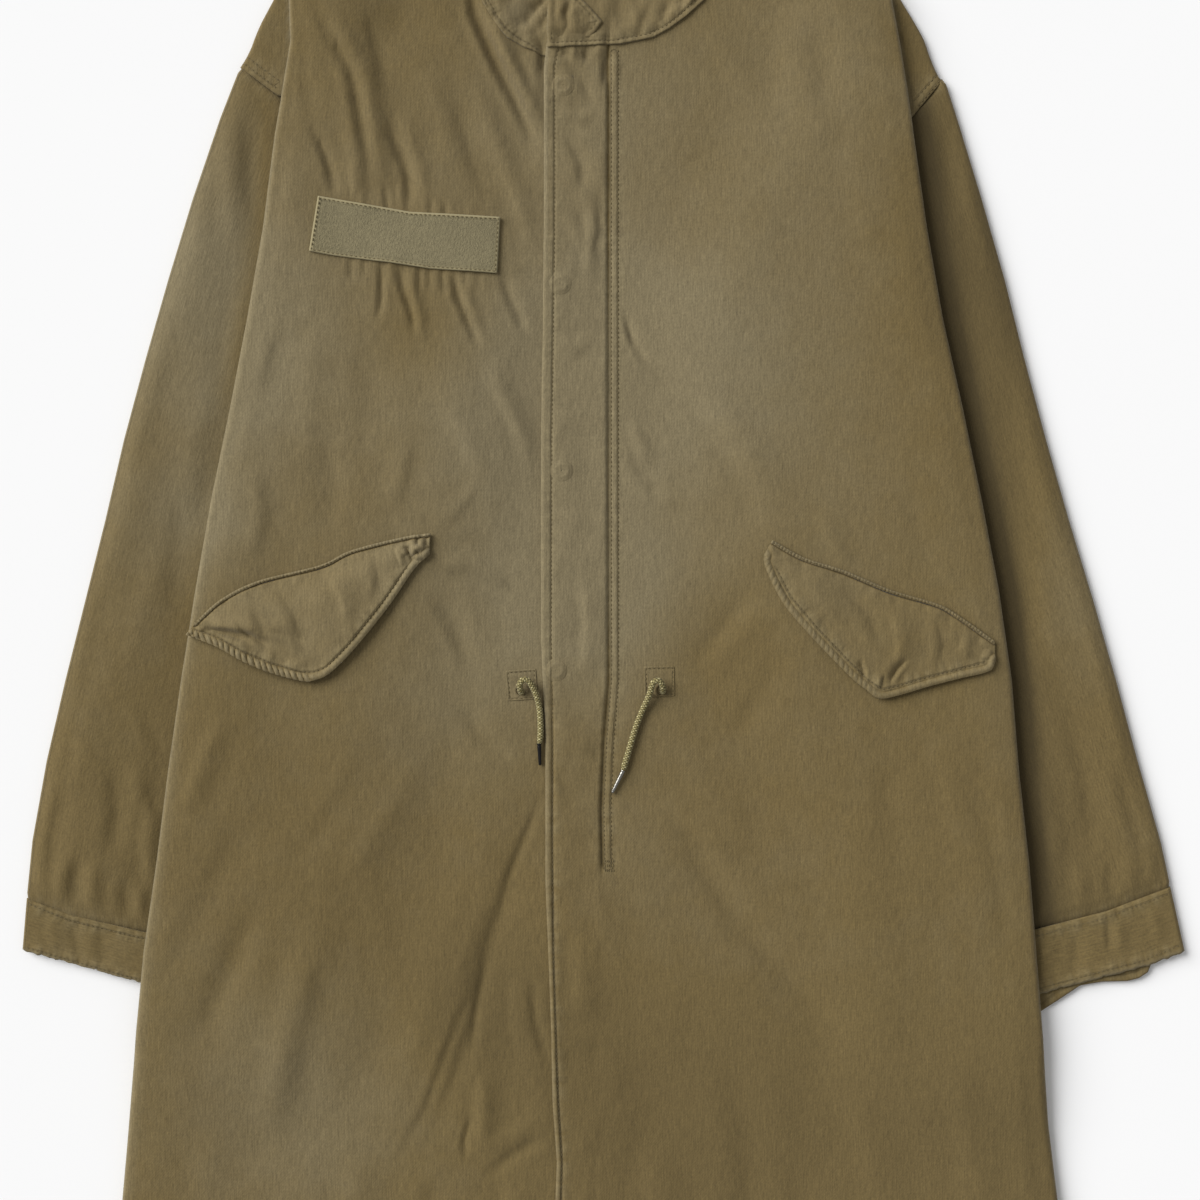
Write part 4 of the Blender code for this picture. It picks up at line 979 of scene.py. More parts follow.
def cloth_material(name="olive_twill", pucker=1.0, shade=1.0):
    """Olive twill: paler where it was washed and rubbed, with painted shade in its seams' grooves and where pale is
    below zero. A shade above 1 gives a brighter copy that stands for painted light.
    """
    if name in bpy.data.materials:
        return bpy.data.materials[name]
    material, tree, shader = new_material(name, 0.88, sheen=0.12)
    groups = {
        "twill": tree.add("ShaderNodeGroup", node_tree=twill_grain_group()),
        "seam": tree.add("ShaderNodeGroup", node_tree=seam_pucker_group()),
        "dye": tree.add("ShaderNodeGroup", node_tree=blotch_group()),
    }
    tree.feed(tree.attribute("grain").outputs["Vector"], groups["twill"].inputs["Grain"])
    tree.feed(tree.attribute("seam").outputs["Vector"], groups["seam"].inputs["Seam"])
    groups["seam"].inputs["Pucker"].default_value = pucker
    tree.feed(tree.place(), groups["dye"].inputs["Place"])
    blotch = groups["dye"].outputs["Blotch"]
    # pale above zero brings the washed fade and painted light; below zero it is painted shade.
    pale = tree.attribute("pale").outputs["Fac"]
    fade = tree.plus(pale, tree.times(blotch, 0.9), True)
    chosen = colours()
    # A shade above 1 makes a brighter copy of the cloth that stands for painted light.
    deep = linear(chosen.deep_olive) * shade
    washed = linear(chosen.washed_olive) * shade
    base = tree.mix(fade, (*deep, 1.0), (*washed, 1.0))
    rub = tree.times(groups["seam"].outputs["Rub"], 0.28)
    base = tree.mix(rub, base, rgba(chosen.rubbed_olive, shade))
    streak = tree.math("MULTIPLY_ADD", groups["twill"].outputs["Streak"], 1.6)
    streak.node.inputs[2].default_value = 0.2
    base = tree.mix(1.0, base, tree.add("ShaderNodeCombineColor", {0: streak, 1: streak, 2: streak}).outputs[0],
                    "MULTIPLY")
    # Painted shade in the groove of each stitched line.
    dark = tree.times(groups["seam"].outputs["Groove"], 0.45)
    base = tree.mix(dark, base, (*(deep * 0.45), 1.0))
    # Painted shade: where pale is below zero the colour is darkened towards a quarter of the deep olive.
    painted_shade = tree.times(tree.times(pale, -1.0, True), 0.72)
    base = tree.mix(painted_shade, base, (*(deep * 0.25), 1.0))
    height = tree.plus(groups["twill"].outputs["Height"], groups["seam"].outputs["Height"])
    dimple = tree.noise(tree.attribute("grain").outputs["Vector"], 1.0, 3.0, 0.55, (0.16, 0.10, 1.0))
    height = tree.plus(height, tree.times(dimple, 0.55))
    cover(tree, shader, base, height)
    return material


def thread_material():
    if "olive_thread" in bpy.data.materials:
        return bpy.data.materials["olive_thread"]
    material, tree, shader = new_material("olive_thread", 0.75, sheen=0.1)
    place = tree.place()
    tone = tree.noise(place, 240.0, 2.0)
    base = tree.mix(tone, rgba(colours().thread, 0.72), rgba(colours().thread, 1.15))
    cover(tree, shader, base, tree.noise(place, 4200.0, 1.0), 0.0001)
    return material


def tape_material():
    """Loop tape: a dense grey-olive pile with a woven border."""
    material, tree, shader = new_material("loop_tape", 0.95, sheen=0.25)
    place = tree.place()
    pile = tree.noise(place, 850.0, 2.0, 0.7, (1.0, 0.55, 1.0))
    clump = tree.noise(place, 1500.0, 2.0, 0.6)
    tone = tree.plus(tree.times(pile, 0.6), tree.times(clump, 0.4))
    base = tree.mix(tone, rgba(colours().tape, 0.30), rgba(colours().tape, 1.85))
    border = tree.attribute("border").outputs["Fac"]
    base = tree.mix(tree.times(border, 0.8), base, rgba(colours().tape, 1.7))
    calm = tree.math("SUBTRACT", 1.0, tree.times(border, 0.8))
    cover(tree, shader, base, tree.times(tone, calm), 0.0011)
    return material


def cord_material():
    """Braided cord with a few pale strands and painted shade in the gaps between its strands."""
    material, tree, shader = new_material("braided_cord", 0.85, sheen=0.15)
    fleck = tree.attribute("fleck").outputs["Fac"]
    height = tree.attribute("height").outputs["Fac"]
    base = tree.mix(fleck, rgba(colours().cord), rgba(colours().cord_fleck))
    # Painted shade: darker where the strands' height is low, in the gaps between them.
    base = tree.mix(height, rgba(colours().cord, 0.28), base)
    fibres = tree.noise(tree.place(), 3000.0, 2.0, 0.6)
    cover(tree, shader, base, fibres, 0.00018)
    return material


def metal_material(name, colour, roughness, metallic):
    material, tree, shader = new_material(name, roughness, metallic=metallic)
    place = tree.place()
    scratch = tree.noise(place, 700.0, 3.0, 0.6)
    base = tree.mix(scratch, rgba(colour, 0.6), rgba(colour, 1.2))
    rough = tree.plus(roughness - 0.1, tree.times(scratch, 0.25))
    tree.feed(rough, shader.inputs["Roughness"])
    cover(tree, shader, base, scratch, 0.0001)
    return material


# ---- body

def rows_between(stations, pitch):
    """The stations with even rows added between them."""
    rows = []
    for a, b in zip(stations, stations[1:]):
        count = math.ceil(abs(b - a) / pitch)
        rows += [a + (b - a) * k / count for k in range(count)]
    return np.array(rows + [stations[-1]], float)


def arc(x, z_from, z_to, outward, count, slant=0.0):
    """Half turn of cloth in a section, from one height to another."""
    radius = abs(z_from - z_to) / 2
    wide = radius * math.hypot(1.0, slant)
    middle = (z_from + z_to) / 2
    start = math.pi / 2 if z_from > z_to else -math.pi / 2
    turns = start - math.copysign(math.pi, start) * (np.arange(count) + 1) / (count + 1)
    return list(zip(x - outward * wide * (1.0 - np.cos(turns)), middle + radius * np.sin(turns)))


def column_shares(width, near, most, fine_count, count):
    """Shares of a row's width: fine even steps near the middle of the body, wider ones beyond."""
    near = min(near, most * width)
    fine = np.arange(fine_count) / fine_count * near
    wide = np.linspace(near, width, count - fine_count)
    return np.concatenate([fine, wide]) / width


def front_grid(key):
    """A front panel's points: its top, the fold at its side, the return to the side seam, and above the
    armhole the pleat's second turn and the shoulder, which rolls under to the back."""
    side = SIDES[key]
    sign = side["side"]
    is_left = key == "left"
    seam_y = side["armhole_station"]
    rows = rows_between(STATIONS, FRONT_PITCH)
    columns = 140 if is_left else 128
    top_x = np.zeros((len(rows), columns))
    edges = []
    for r, y in enumerate(rows):
        edge = fold_x(y, side) - sign * CLOTH / 2
        tuck = float(tuck_x(y, side))
        on_fly = is_left and y <= 346.0
        start = float(fly_start(y)) if is_left else RIGHT_FRONT_EDGE
        first = start + 2.0 if is_left else start
        slant = float(fold_x(y + 4.0, side) - fold_x(y - 4.0, side)) / 8.0
        top_z = float(front_height(np.array(tuck), np.array(y), key, False) + body_lift(y) + 0.5 * side_puff(y))
        above = y >= seam_y
        return_z = pleat_heights(y)[1] + 0.4 * body_lift(y)
        bottom_z = float(return_z if above else back_ride(edge, y) + FLOOR_Z)
        last = edge - sign * abs(top_z - bottom_z) / 2 * math.hypot(1.0, slant)
        fine = (60.0, 0.5, 66) if is_left else (190.0, 0.92, 106)
        top_x[r] = first + (last - first) * column_shares(abs(last - first), *fine, columns)
        edges.append((edge, tuck, start, slant, top_z, bottom_z, last, above, on_fly))
    top_y = np.repeat(rows[:, None], columns, axis=1)
    heights = FRONT_TOPS[key](top_x, top_y)
    neck = sorted((x, y) for y, x in side["neck"])
    heights[top_y > read_table(neck, top_x) + 5.0] = np.nan
    top_x[np.isnan(heights)] = np.nan
    top_y[np.isnan(heights)] = np.nan

    grid = []
    for r, (edge, tuck, start, slant, top_z, bottom_z, last, above, on_fly) in enumerate(edges):
        y = rows[r]
        row = []
        if is_left:
            for reach, drop in ((0.9, 1.9), (0.15, 1.5), (0.0, 0.8), (0.6, 0.15)):
                row.append((start + reach, y, heights[r, 0] - drop) if on_fly else (np.nan,) * 3)
        ease = smooth((np.abs(top_x[r] - last)) / 14.0)
        row += list(zip(top_x[r], top_y[r], heights[r] * ease + top_z * (1.0 - ease)))
        row += [(x, y, z) for x, z in arc(edge, top_z, bottom_z, sign, 7, slant)]
        for share in (0.1, 0.35, 0.6, 0.8, 1.0):
            x = last + (tuck - last) * share
            if above:
                row.append((x if share < 1.0 else tuck + sign * 1.5, y, bottom_z))
            else:
                row.append((x, y, float(back_ride(x, y)) + FLOOR_Z))
        if not above:
            grid.append(row + [(np.nan,) * 3] * 21)
            continue
        full = float(smooth((y - seam_y) / 80.0))
        cap_z = float(pleat_heights(y)[0])

        def cap_y(x):
            return y * full + (1.0 - full) * max(float(read_table(side["armhole"], x)) + (y - seam_y) * 0.6, y)

        row.append((tuck, y, (bottom_z + cap_z) / 2))
        cap_from = tuck + sign * 1.5
        rim = float(read_table(side["shoulder"], cap_y(side["armhole"][0][0]))) - sign * CLOTH / 2
        cap_to = rim - sign * (cap_z - FLOOR_Z) / 2 * math.hypot(1.0, slant)
        for share in even(14):
            x = cap_from + (cap_to - cap_from) * share
            place = np.array(x), np.array(cap_y(x))
            soft = 1.0 * float(crumple(*place, 31)) * math.sin(math.pi * share)
            seam_away = abs(float(line_distance(*place, side["armhole"])[0]))
            soft += 0.9 * bell(seam_away - 3.2, 2.8) * smooth((1.0 - share) * 9.0)
            row.append((x, cap_y(x), cap_z + soft))
        row += [(x, cap_y(x), z) for x, z in arc(rim, cap_z, FLOOR_Z, sign, 5, slant)]
        row.append((rim - sign * SHOULDER_ROLL, cap_y(rim - sign * SHOULDER_ROLL), FLOOR_Z))
        grid.append(row)
    return np.array(grid, float)


def back_grid():
    """The back's points: flat on the table in the middle and over the sleeves at its sides."""
    grid = []
    for y in rows_between(STATIONS, BACK_PITCH):
        ends = []
        for side in SIDES.values():
            sign = side["side"]
            if y > 349:
                roll = CLOTH / 2 + SHOULDER_ROLL + 3.0 * SEAM_GAP
                ends.append(float(read_table(side["shoulder"], y)) - sign * roll)
            elif y >= side["armhole_station"]:
                ends.append(float(read_table(side["back_edge"], y)))
            else:
                ends.append(float(tuck_x(y, side)) - sign * SEAM_GAP)
        share = even(90)
        x = ends[0] + (ends[1] - ends[0]) * share
        dip = BACK_NECK_DIP * np.sin(math.pi * share) * max(0.0, (y - 378.0) / 63.0)
        height = y + 0.0 * x
        relief = np.clip(crease_relief(x, height, BACK_CREASES) + 0.5 * crumple(x, height, 41), 0.0, 0.9)
        relief *= smooth(np.minimum(share, 1.0 - share) * 22.0)
        grid.append(together(x, y - dip, back_ride(x, height) + FLOOR_Z + relief))
    return np.array(grid)


# ---- sleeves and cuffs

def beside_body(x, y, key):
    """How far places on a sleeve are out from the body's side fold."""
    side = SIDES[key]
    return (x - fold_x(y, side)) * side["side"]


def ring_section(outer, inner, thickness, bend, relief, counts=(46, 7, 26)):
    """Closed section of a flattened tube from its outer edge to its inner one and back, and the distance
    round it. bend moves it sideways at shares of its width, relief raises its top."""
    low = thickness / 2
    high = SLEEVE_TOP_Z - (thickness - CLOTH) / 2
    radius = (high - low) / 2
    length = norm(inner - outer)
    way = (inner - outer) / length
    start = thickness / 2 + radius
    top, turn, below = counts
    angles = math.pi / 2 - math.pi * (np.arange(turn) + 1) / (turn + 1)
    distance = np.concatenate([
        start + (length - 2 * start) * even(top), length - start + radius * np.cos(angles),
        length - start - (length - 2 * start) * even(below), start - radius * np.cos(angles)])
    z = np.concatenate([np.full(top, high), (low + high) / 2 + radius * np.sin(angles), np.full(below, low),
                        (low + high) / 2 - radius * np.sin(angles)])
    place = outer + way * distance[:, None] + bend(distance / length)
    edge = smooth((distance[:top] - 1.5) / 9.0) * smooth((length - distance[:top]) / 9.0)
    z[:top] += relief(place[:top, 0], place[:top, 1]) * edge
    flat = np.column_stack([distance, z])
    steps = step_lengths(flat)
    return np.column_stack([place, z]), np.concatenate([[0.0], np.cumsum(steps)])


def cuff_bow(key, name, share):
    """How far the cuff's seam or lower edge bows off a straight line at shares of its width."""
    line = np.array(SIDES[key][name], float)
    return along(line, share) - line[0] - (line[-1] - line[0]) * np.asarray(share)[:, None]


def sleeve_relief(key, x, y, near_seam):
    """Height of the sleeve's folds above its flat form."""
    out = beside_body(x, y, key)
    crown = 2.2 * smooth((out - 4.0) / 50.0) - 1.4 * bell(out, 18.0)
    calm = 0.45 + 0.55 * smooth((-130.0 - y) / 60.0) + 0.25 * smooth((y - 190.0) / 60.0)
    folds = 1.3 * crease_relief(x, y, SLEEVE_CREASES[key], 0.3) + 1.3 * crumple(x, y, 57 if key == "right" else 71)
    folds = folds * calm
    folds *= sizes().crease_strength
    return np.maximum((crown + folds) * near_seam, -2.0)


def sleeve_grid(key):
    """A sleeve's points as a flattened tube from the armhole to the cuff's seam, and its thread directions."""
    side = SIDES[key]
    armhole = np.array(side["armhole"], float)
    shares = even(150)
    outer = along(side["sleeve"], shares)
    inner = armhole[-1] + (np.array(side["cuff_seam"][-1], float) - armhole[-1]) * shares[:, None]
    down = outer[9] - outer[0]
    down /= norm(down)
    across = (inner[0] - outer[0]) / norm(inner[0] - outer[0])
    outer[0] += across * 2.2 - down * 2.0
    inner[0] -= down * 2.0
    across = (inner[-1] - outer[-1]) / norm(inner[-1] - outer[-1])
    outer[-1] += across * 2.2 + down * 2.4
    inner[-1] += down * 2.4 - across * 2.2
    length = step_lengths(outer).sum()
    grid, grain = [], []
    for share, a, b in zip(shares, outer, inner):
        fade = max(0.0, 1.0 - share * 16.0 / 5.0) ** 2
        low_fade = smooth((share - 0.86) / 0.14)

        def bend(at):
            top = along(armhole, at) - armhole[0] - (armhole[-1] - armhole[0]) * at[:, None]
            return top * fade + cuff_bow(key, "cuff_seam", at) * low_fade

        near_seam = float(smooth(share * length / 16.0) * (1.0 - 0.5 * smooth((share - 0.955) / 0.045)))
        under = -1.3 * (1.0 - smooth(share * length / 6.0)) - 1.7 * smooth((share - 0.986) / 0.010)
        points, round_way = ring_section(a, b, CLOTH, bend,
                                         lambda x, y: sleeve_relief(key, x, y, near_seam) + under)
        grid.append(points)
        grain.append(together(round_way, np.full_like(round_way, -share * length), 0.0 * round_way))
    return np.array(grid), np.array(grain)


def cuff_grid(key):
    """A cuff's points, from its seam to its lower edge, and its thread directions."""
    side = SIDES[key]
    grid, grain = [], []
    for share in even(26):
        outer = np.array(side["cuff_seam"][0]) * (1.0 - share) + np.array(side["cuff_low"][0]) * share
        inner = np.array(side["cuff_seam"][-1]) * (1.0 - share) + np.array(side["cuff_low"][-1]) * share

        def bend(at):
            way = at * 150.0
            worn = 0.55 * soft_noise(way, 0.0 * at, 4.0, 137) + 0.45 * soft_noise(way, 0.0 * at, 1.7, 139)
            worn = np.column_stack([0.0 * at, worn * smooth((share - 0.9) / 0.1)])
            return cuff_bow(key, "cuff_seam", at) * (1.0 - share) + cuff_bow(key, "cuff_low", at) * share + worn

        def relief(x, y):
            folds = crease_relief(x, y, CUFF_CREASES) + 0.8 * crumple(x * 1.6, y * 1.6, 83)
            band = 0.5 * bell(share - 0.10, 0.06) + 0.5 * bell(share - 0.90, 0.07)
            return np.maximum(folds * sizes().crease_strength + band, -1.2)

        points, round_way = ring_section(outer, inner, CUFF_CLOTH, bend, relief, (96, 7, 40))
        grid.append(points)
        grain.append(together(-share * CUFF_LENGTH + 0.0 * round_way, round_way, 0.0 * round_way))
    return np.array(grid), np.array(grain)


# ---- collar

def collar_grid(key):
    """Half of the collar's front: it stands on the neckline, lies up the page and folds round its side."""
    side = SIDES[key]
    sign = side["side"]
    line = shifted(evenly([(x, y) for y, x in side["neck"]], COLLAR_PITCH), sign * SEAM_GAP * 1.5)
    edge = side["neck"][-1][1] + sign * CLOTH / 2
    low = COLLAR_CLOTH / 2
    run = np.arange(len(line)) * COLLAR_PITCH
    near_end = smooth((run - len(line) * COLLAR_PITCH + 38.2) / 36.0)
    x, y = line[:, 0], line[:, 1]
    over = read_table(NECK_LAPS[key], x)
    front = FRONT_TOPS[key]
    on_front = CLOTH + 0.15
    seam_z = front(x, y - over) + on_front
    lap = (COLLAR_LAP + 0.7) * smooth((14.0 - x) / 14.0) if key == "left" else 0.0 * x
    under = UNDER_LAP * smooth((x + 42.0) / 22.0) if key == "right" else 0.0 * x
    grid = []
    for v in np.concatenate([np.linspace(0.0, 0.12, 12), np.linspace(0.14, 1.0, 36)]):
        top = COLLAR_Z + (seam_z[-1] - COLLAR_Z) * float(1.0 - smooth(v / 0.4)) + lap[-1]
        radius = (top - low) / 2
        row_x = x + (edge - sign * radius - x[-1]) * near_end
        page_y = y + under - over * (1.0 - smooth(v / 0.3)) + v * COLLAR_HEIGHT
        z = seam_z + (COLLAR_Z - seam_z) * smooth(v / 0.4) + lap * smooth(v / 0.3)
        lies = smooth((y + 9.5 - page_y) / 4.0)
        z += lies * np.maximum(front(row_x, page_y) + on_front - z, 0.0)
        relief = 1.5 * crease_relief(row_x, page_y, COLLAR_CREASES, 0.35)
        relief += 1.2 * crumple(row_x * 1.5, page_y * 1.5, 91)
        gathers = soft_noise(run, v * 30.0 + 0.0 * run, 7.0, 93) * bell(v - 0.10, 0.10)
        relief = relief * smooth(v * 9.0) + 1.1 * gathers - 0.6 * bell(v - 0.05, 0.02)
        z = z + relief * sizes().crease_strength * smooth(np.abs(row_x - edge) / 9.0)
        if key == "left":
            z += 0.5 * bell(row_x - row_x[0] - 2.5, 2.2)
        z[-1] = top
        row = list(zip(row_x, page_y, z))
        end_y = page_y[-1]
        row += [(px, end_y, pz) for px, pz in arc(edge, top, low, sign, 7)]
        row += [(edge - sign * (radius + COLLAR_RETURN * k / 2), end_y, low) for k in (1, 2)]
        grid.append(row)
    return np.array(grid, float)


def collar_back_grid():
    ends = []
    for side in SIDES.values():
        sign = side["side"]
        edge = side["neck"][-1][1] + sign * CLOTH / 2
        radius = (COLLAR_Z - COLLAR_CLOTH / 2) / 2
        ends.append(edge - sign * (radius + COLLAR_RETURN + 6.0 * SEAM_GAP))
    share = even(70)
    x = ends[0] + (ends[1] - ends[0]) * share
    grid = []
    for v in even(32):
        dip = BACK_NECK_DIP * np.sin(math.pi * share) * (1.0 - v)
        y = NECK_SIDE_Y + SEAM_GAP - dip + v * COLLAR_HEIGHT
        relief = np.clip(0.8 * crumple(x * 1.3, y * 1.3, 97), 0.0, 0.8) * math.sin(math.pi * v)
        grid.append(together(x, y, COLLAR_CLOTH / 2 + relief))
    return np.array(grid)


# ---- what is laid on other cloth

def laid_heights(ground, x, y, spread=2):
    """Heights of cloth that lies smoothly on what is below it and touches its highest places."""
    pitch = 1.5
    xs = np.arange(x.min() - 9.0, x.max() + 9.0, pitch)
    ys = np.arange(y.min() - 9.0, y.max() + 9.0, pitch)
    tops = ground.tops(*np.meshgrid(xs, ys))
    for choose in [np.max] * spread + [np.mean] * spread:
        wide = np.pad(tops, 1, mode="edge")
        tops = choose([wide[i:i + tops.shape[0], j:j + tops.shape[1]] for i in range(3) for j in range(3)], axis=0)
    u = (x - xs[0]) / pitch
    v = (y - ys[0]) / pitch
    i = np.clip(u.astype(int), 0, len(xs) - 2)
    j = np.clip(v.astype(int), 0, len(ys) - 2)
    return between_four(tops[j, i], tops[j, i + 1], tops[j + 1, i], tops[j + 1, i + 1], u - i, v - j)


def between_edges(top, low, rows, columns):
    """Places between an upper and a lower edge, and their shares across and down."""
    u, v = np.meshgrid(even(columns), rows)
    place = along(top, u) * (1.0 - v)[..., None] + along(low, u) * v[..., None]
    return place[..., 0], place[..., 1], u, v


def flap_grid(key, ground):
    """A pocket flap: puffed, with a roped hem at its free edge and a groove where the hem is stitched."""
    flap = FLAPS[key]
    rows = np.concatenate([np.linspace(0.0, 0.12, 14), np.linspace(0.135, 0.8, 38), np.linspace(0.81, 1.0, 28)])
    seam, free = smooth_curve(flap["seam"], 80), smooth_curve(flap["free"], 110)
    x, y, u, v = between_edges(seam, free, rows, 256)
    swell = flap["puff"] * np.sin(math.pi * np.clip(u, 0.0, 1.0)) ** 0.7 * smooth(v * 2.6) * (1.0 - 0.35 * v ** 4)
    away, at, length = line_distance(x, y, free)
    away = np.abs(away)
    roped = read_table(flap["roped"], at / length)
    turns = at / 4.6 + away / 5.2 + 0.25 * soft_noise(at, away, 11.0, 5)
    strand = np.sqrt(np.abs(np.cos(math.pi * turns)))
    hem = bell(away - 1.8 - 0.5 * roped, 1.5 + 0.6 * roped)
    groove = bell(away - 4.3 - 1.1 * roped, 0.9)
    rim = hem * (0.8 + 2.3 * roped * (strand - 0.75)) - (0.3 + 0.4 * roped) * groove
    seam_away, seam_at, _ = line_distance(x, y, seam)
    seam_away = np.abs(seam_away)
    corded = bell(seam_away - 0.7, 0.7) * (0.75 + 0.5 * np.sin(seam_at * math.tau / 2.4))
    under = bell(seam_away - 2.2, 0.7)
    rim += 0.7 * corded - 1.2 * under
    for px, py, reach, height in flap["knots"]:
        knot = height * np.exp(-((x - px) ** 2 + (y - py) ** 2) / reach ** 2)
        rim += knot * (0.6 + 1.8 * soft_noise(x, y, 3.0, 141))
    folds = 1.8 * crease_relief(x, y, FLAP_CREASES, 0.4) + 1.1 * crumple(x * 1.3, y * 1.3, 103)
    gathers = soft_noise(at, away * 0.4, 6.0, 107) * bell(away - 9.0, 5.0)
    gathers += soft_noise(seam_at, seam_away * 0.3, 5.0, 109) * bell(seam_away - 5.0, 4.0)
    folds = (folds + 0.7 * gathers) * sizes().crease_strength * smooth(v * 9.0) * smooth((away - 2.0) / 5.0)
    z = laid_heights(ground, x, y) + SEAM_GAP + FLAP_CLOTH / 2 + swell + np.maximum(rim + folds, -swell - 0.9)
    # Paler on the raised hem and corded seam from rubbing; painted shadow under the corded seam, painted shade in the
    # hem's groove and between the rope's strands, and lit adds painted light.
    wear = 0.30 * hem + 0.45 * corded + 0.10 - 2.3 * under - (0.15 + 0.3 * roped) * groove
    wear += roped * hem * (2.1 * strand - 1.9) + flap["lit"]
    return together(x, y, z), wear


def tape_grid(ground):
    """The chest's loop tape: a pile field with a narrow woven edge."""
    x, y, _, _ = between_edges(TAPE_TOP, TAPE_LOW, even(40), 112)
    outline = [*TAPE_TOP, *TAPE_LOW[::-1], TAPE_TOP[0]]
    away = np.abs(line_distance(x, y, outline)[0])
    border = smooth((1.9 - away) / 0.8)
    pucker = soft_noise(x, y, 7.5, 113) * bell(away, 9.0)
    z = laid_heights(ground, x, y, 5) - 0.6 + TAPE / 2 + 0.35 * bell(away - 0.9, 0.8)
    z += 0.18 * pucker + 0.2 * soft_noise(x, y, 30.0, 117) - 0.3 * bell(away - 2.5, 0.7)
    return together(x, y, z), border


def patch_grid(key, ground):
    """A square patch's points, in rings from the cord's hole to the square's edge."""
    spec = CORD_PATCHES[key]
    turn = math.radians(spec["turn"])
    angles = np.arange(96) * math.tau / 96 + math.pi / 96
    around = np.column_stack([np.cos(angles), np.sin(angles)])
    square = around / np.abs(around).max(axis=1)[:, None] * (PATCH_SIDE / 2)
    way = np.array([[math.cos(turn), -math.sin(turn)], [math.sin(turn), math.cos(turn)]])
    square = square @ way.T + np.array(spec["middle"])
    hole = around * HOLE_RADIUS + np.array(spec["hole"])
    share = even(20)[:, None, None]
    place = hole * (1.0 - share) + square * share
    x, y = place[..., 0], place[..., 1]
    edge = (1.0 - share[..., 0]) * norm(square - hole, axis=1)
    rim = norm(place - np.array(spec["hole"]), axis=-1) - HOLE_RADIUS
    z = laid_heights(ground, x, y, 1) - 0.05
    z += 0.45 * bell(rim - 1.0, 0.9) - 0.25 * bell(edge - 2.0, 0.8)
    z += 0.2 * bell(edge - 0.4, 0.8) + 0.2 * soft_noise(x, y, 5.0, 121)
    return together(x, y, z)


def throat_tab_grid(ground):
    rows = evenly(THROAT_TAB, 1.4)
    share = even(22)
    x = THROAT_TAB_LEFT + (rows[:, 1:] - THROAT_TAB_LEFT) * share
    y = np.repeat(rows[:, :1], len(share), axis=1)
    outline = [(right, height) for height, right in THROAT_TAB]
    away = np.abs(line_distance(x, y, outline)[0])
    z = laid_heights(ground, x, y, 1) + 0.1 + CLOTH / 3 - 1.9 * smooth((357.0 - y) / 8.0)
    z += 1.4 * crease_relief(x, y, TAB_CREASES)
    z += 0.5 * bell(away - 1.8, 1.4) - 0.35 * bell(away - 4.6, 1.1)
    return together(x, y, z)


# ---- cords, tips, snaps, thread

def tube_frames(line):
    """Two crosswise directions at each point of a line, without twist."""
    ways = np.gradient(line, axis=0)
    ways /= norm(ways, axis=1)[:, None]
    side = np.cross(ways[0], (0.0, 0.0, 1.0))
    if norm(side) < 1e-3:
        side = np.array((1.0, 0.0, 0.0))
    frames = []
    for way in ways:
        side = side - way * np.dot(side, way)
        side /= norm(side)
        frames.append((side, np.cross(way, side)))
    return frames


def tube_faces(first, rings, sides):
    """Faces of a closed tube: rings of corners from a first corner on, then one corner for each end."""
    faces = []
    last = first + (rings - 1) * sides
    for c in range(sides):
        d = (c + 1) % sides
        for low in range(first, last, sides):
            faces.append((low + c, low + d, low + sides + d, low + sides + c))
        faces += [(first + d, first + c, last + sides), (last + c, last + d, last + sides + 1)]
    return faces


def capped_tube(name, line, frames, radii, sides, fields=()):
    """Closed tube round a line; radii is a value or a row of values for each of its points."""
    angles = np.arange(sides) * math.tau / sides
    rings = []
    for point, (side, up), radius in zip(line, frames, radii):
        radius = np.broadcast_to(radius, (sides,))[:, None]
        rings.append(point + radius * (np.cos(angles)[:, None] * side + np.sin(angles)[:, None] * up))
    corners = np.concatenate([np.concatenate(rings), [line[0]], [line[-1]]])
    whole = [(label, np.concatenate([values.ravel(), values[0, :1], values[-1, :1]])) for label, values in fields]
    return new_mesh(name, corners, tube_faces(0, len(line), sides), whole)


def cord_line(key, front_ground, ground):
    """Middle line of a free end of the waist cord."""
    cord = sizes().cord_diameter / MM
    front_top = front_ground.top(*CORD_PATCHES[key]["hole"], 2.0)
    points = []
    for x, y, height in CORD_ROUTES[key]:
        if height is LIES:
            points.append((x, y, ground.top(x, y, cord / 2) + SEAM_GAP + cord / 2))
        else:
            points.append((x, y, front_top + height))
    return smooth_curve(points, 30)


def braided_tube(name, line):
    """Cord of strands laid over and under each other, each second one pale."""
    dense = smooth_curve(line, round(step_lengths(line).sum() / 0.42))
    steps = np.concatenate([[0.0], np.cumsum(step_lengths(dense))])
    sides = 28
    s, turn = np.meshgrid(steps, np.arange(sides) * math.tau / sides, indexing="ij")
    lay = math.tau / 7.6
    one = 4.0 * turn + 4.0 * lay * s
    other = 4.0 * turn - 4.0 * lay * s
    strand_one = np.cos(one / 2.0) ** 2
    strand_other = np.cos(other / 2.0) ** 2
    over = np.sin(8.0 * turn / 2.0) * np.sin(4.0 * lay * s) > 0.0
    relief = np.where(over, np.maximum(strand_one, 0.72 * strand_other), np.maximum(strand_other, 0.72 * strand_one))
    taper = 1.0 - 0.42 * smooth((s - steps[-1] + 4.5) / 4.0)
    radius = sizes().cord_diameter / MM / 2 * (0.80 + 0.20 * relief) * taper
    which = np.floor(np.where(over, one, other) / math.tau + 0.5)
    pale = (np.mod(which, 2.0) == 0.0) & (np.where(over, strand_one, strand_other) > 0.25)
    # height also marks where the cord's material paints shade in the gaps between strands.
    fields = [("height", np.clip((relief - 0.34) / 0.45, 0.0, 1.0)), ("fleck", pale.astype(float))]
    return capped_tube(name, dense, tube_frames(dense), radius, sides, fields)


